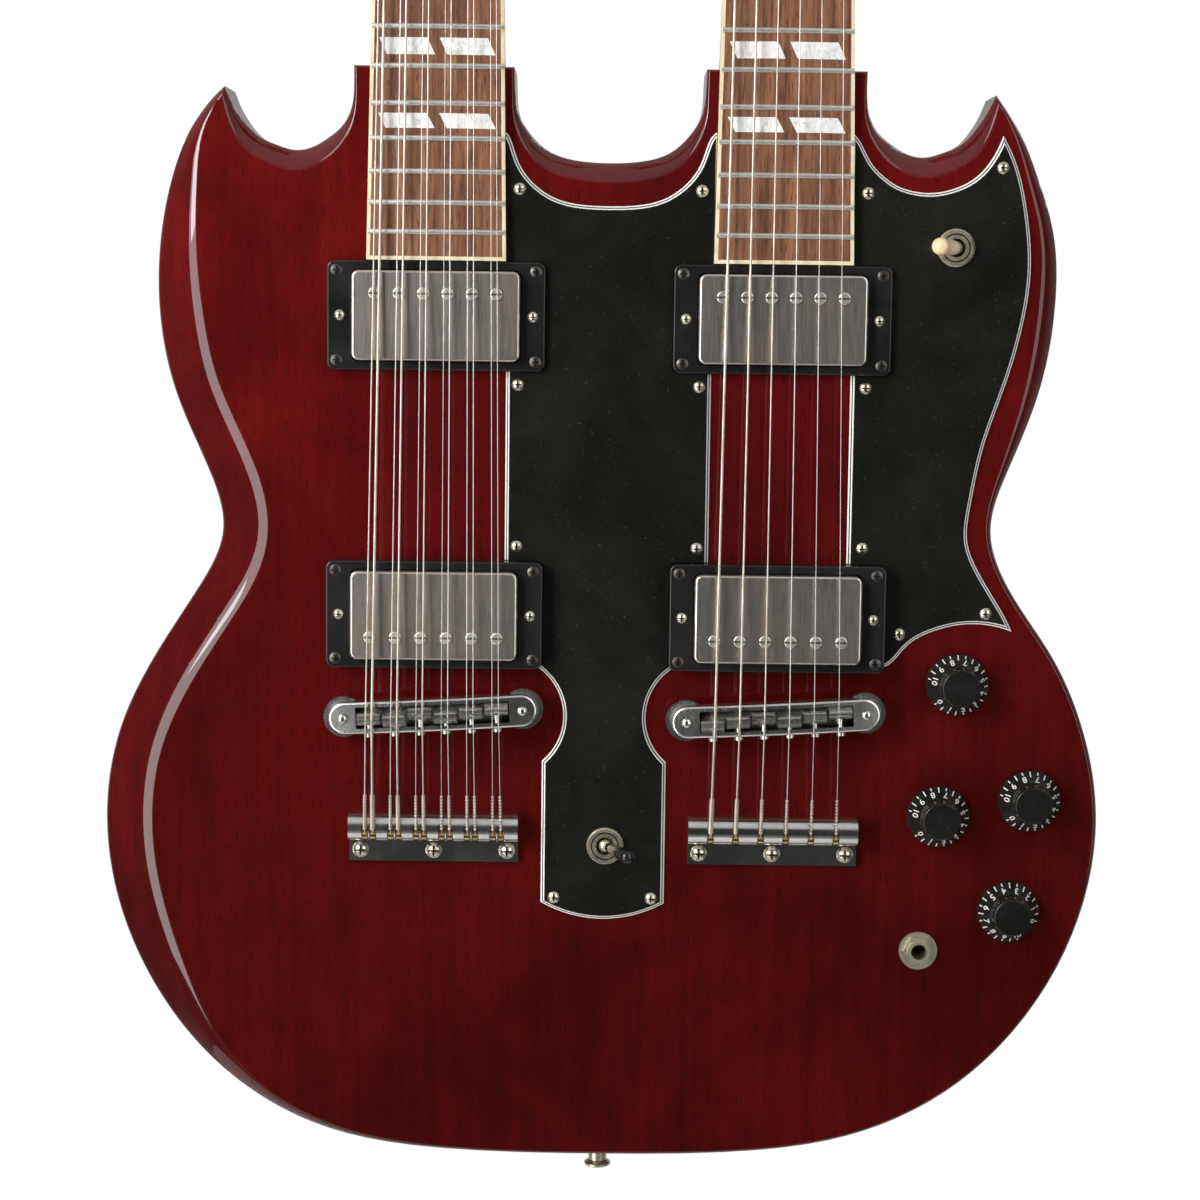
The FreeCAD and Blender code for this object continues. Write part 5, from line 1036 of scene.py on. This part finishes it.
def makeTick(settings, inner, outer):
    # a flat bar with rounded top edges, long enough to fill its ring once it leans on the slope
    run, rise = skirtSlope(settings)
    length = (outer - inner) * math.hypot(1.0, rise / run)
    deselectAll()
    bpy.ops.mesh.primitive_cube_add(size=1.0, location=(0, 0, 0))
    tick = newest("tick")
    tick.dimensions = (settings["tickWidth"] * mm, length * mm, settings["tickRise"] * mm)
    bakePlace(tick)
    bpy.ops.object.mode_set(mode="EDIT")
    selectFaces(tick, lambda place, normal: normal.z > 0.9)
    bpy.ops.mesh.bevel(offset=settings["tickRound"] * mm, segments=1)
    bpy.ops.object.mode_set(mode="OBJECT")
    return tick


def makeKnobDial(settings):
    narrow = Matrix.Scale(settings["digitWidth"], 4, (1, 0, 0))
    marks = []
    for number in range(settings["highest"] + 1):
        digit = makeDigit(settings, number)
        angle = settings["firstAngle"] + settings["step"] * number
        digit.matrix_world = onSkirt(settings, angle, settings["digitRadius"]) @ narrow
        bakePlace(digit)
        marks.append(digit)
    for between, name in enumerate(("shortTick", "longTick")):  # short at the numbers, long between them
        inner, outer = settings[name]
        tick = makeTick(settings, inner, outer)
        for number in range(settings["highest"] + 1 - between):
            angle = settings["firstAngle"] + settings["step"] * (number + between / 2)
            marks.append(placedCopy(tick, name, onSkirt(settings, angle, (inner + outer) / 2)))
        makeActive(tick)
        bpy.ops.object.delete()
    return joined(marks, "knobDial1")


def makeKnobs(settings):
    # one cap and one dial are modelled, and the other knobs get copies
    caps, dials = [makeKnobCap(settings)], [makeKnobDial(settings)]
    back = Matrix.Translation(-knobFoot(settings, 0))
    for index, degrees in enumerate(settings["turns"][1:], 1):
        move = Matrix.Translation(knobFoot(settings, index))
        turn = Matrix.Rotation(math.radians(degrees), 4, forward)
        caps.append(placedCopy(caps[0], "knobCap%d" % (index + 1), move @ back))
        dials.append(placedCopy(dials[0], "knobDial%d" % (index + 1), move @ turn @ back))
    for index, (cap, dial) in enumerate(zip(caps, dials)):
        body = "knob_%d" % (index + 1)
        finishPiece(cap, knobBlack, body, ["control_" + body], 28)
        finishPiece(dial, markingWhite, body, angle=20)


makeKnobs(knobSettings)
print("knobs made")


# floor, light and camera
floorSettings = {"radius": 0.55, "height": -0.42, "grain": 40.0,
                 "dark": colour(0.80, 0.80, 0.80), "light": colour(0.84, 0.84, 0.84)}


def makeFloor(settings):
    deselectAll()
    bpy.ops.mesh.primitive_circle_add(vertices=96, radius=settings["radius"], fill_type="NGON",
                                      location=(0, 0, settings["height"]))
    floor = newest("floor")
    material, tree, shader = startMaterial("floorPaper", Roughness=0.9, Specular_IOR_Level=0.1)
    paper = noiseOf(tree, objectPoint(tree), settings["grain"], 3.0)
    tone = mixOf(tree, paper.outputs["Fac"], settings["dark"], settings["light"])
    tree.links.new(tone, shader.inputs["Base Color"])
    dress(floor, material)


lampSettings = {
    "left": {"place": (-1.15, -1.06, 0.38), "target": (-0.2, 0.0, 0.30), "size": (0.78, 2.5), "power": 25.0},
    "leftHigh": {"place": (-1.00, -0.98, 0.80), "target": (-0.2, 0.0, 0.40), "size": (0.50, 0.60),
                 "power": 10.0},
    "right": {"place": (1.15, -1.10, 0.60), "target": (0.2, 0.0, 0.30), "size": (0.85, 1.9), "power": 8.5},
    "back": {"place": (0.9, 1.30, 1.30), "target": (0.0, 0.0, 0.35), "size": (1.2, 1.2), "power": 8.0}}


def makeLamp(name, settings):
    data = bpy.data.lights.new(name + "Lamp", "AREA")
    data.shape = "RECTANGLE"
    data.size, data.size_y = settings["size"]
    data.energy = settings["power"]
    lamp = bpy.data.objects.new(name + "Lamp", data)
    bpy.context.scene.collection.objects.link(lamp)
    lamp.location = settings["place"]
    aim = Vector(settings["target"]) - Vector(settings["place"])
    lamp.rotation_euler = aim.to_track_quat("-Z", "Y").to_euler()


worldSettings = {
    "walls": [(0.035, 0.02), (0.09, 0.20), (0.28, 0.06), (0.48, 0.08), (0.80, 0.42)],  # from front to back
    "ceiling": 0.55, "ceilingFrom": 0.42, "ceilingFull": 0.75, "fill": 0.22}


def grey(level):
    return colour(level, level, level)


def makeWorld(settings):
    # white to the camera; polished parts see a white wall behind the object and a dark room in front
    world = bpy.data.worlds.new("studio")
    bpy.context.scene.world = world
    world.use_nodes = True
    tree = world.node_tree
    background = tree.nodes["Background"]
    rays = addNode(tree, "ShaderNodeLightPath")
    direction = addNode(tree, "ShaderNodeTexCoord").outputs["Generated"]
    parts = addNode(tree, "ShaderNodeSeparateXYZ", {"Vector": direction})
    ramp = addNode(tree, "ShaderNodeValToRGB", {"Fac": rangeOf(tree, parts.outputs["Y"], -1.0, 1.0)})
    marks = ramp.color_ramp.elements
    walls = settings["walls"]
    marks[0].position, marks[1].position = walls[0][0], walls[-1][0]
    for position, level in walls[1:-1]:
        marks.new(position)
    for mark, (position, level) in zip(marks, walls):
        mark.color = grey(level)
    above = rangeOf(tree, parts.outputs["Z"], settings["ceilingFrom"], settings["ceilingFull"])
    wall = mixOf(tree, above, ramp.outputs["Color"], grey(settings["ceiling"]))
    glossy = mathOf(tree, "MAXIMUM", rays.outputs["Is Glossy Ray"], rays.outputs["Is Transmission Ray"])
    seen = mixOf(tree, glossy, grey(settings["fill"]), wall)
    shown = mixOf(tree, rays.outputs["Is Camera Ray"], seen, grey(1.0))
    tree.links.new(shown, background.inputs["Color"])
    background.inputs["Strength"].default_value = 1.0


cameraSettings = {
    "target": (-1.8, -18.0, 237.57), "distance": 1050.0, "above": 6.5, "roll": 0.7,
    "lens": 76.16, "sensor": 36.0}


def makeCamera(settings):
    data = bpy.data.cameras.new("camera")
    data.lens = settings["lens"]
    data.sensor_width = settings["sensor"]
    camera = bpy.data.objects.new("camera", data)
    bpy.context.scene.collection.objects.link(camera)
    above = math.radians(settings["above"])
    back = Vector((0, -math.cos(above), math.sin(above)))
    camera.location = (Vector(settings["target"]) + back * settings["distance"]) * mm
    roll = Matrix.Rotation(math.radians(settings["roll"]), 3, "Z")
    camera.rotation_euler = ((-back).to_track_quat("-Z", "Y").to_matrix() @ roll).to_euler()
    bpy.context.scene.camera = camera


makeFloor(floorSettings)
for lampName, lampValues in lampSettings.items():
    makeLamp(lampName, lampValues)
makeWorld(worldSettings)
makeCamera(cameraSettings)
bpy.context.scene.view_settings.view_transform = "Standard"
print("stage set")
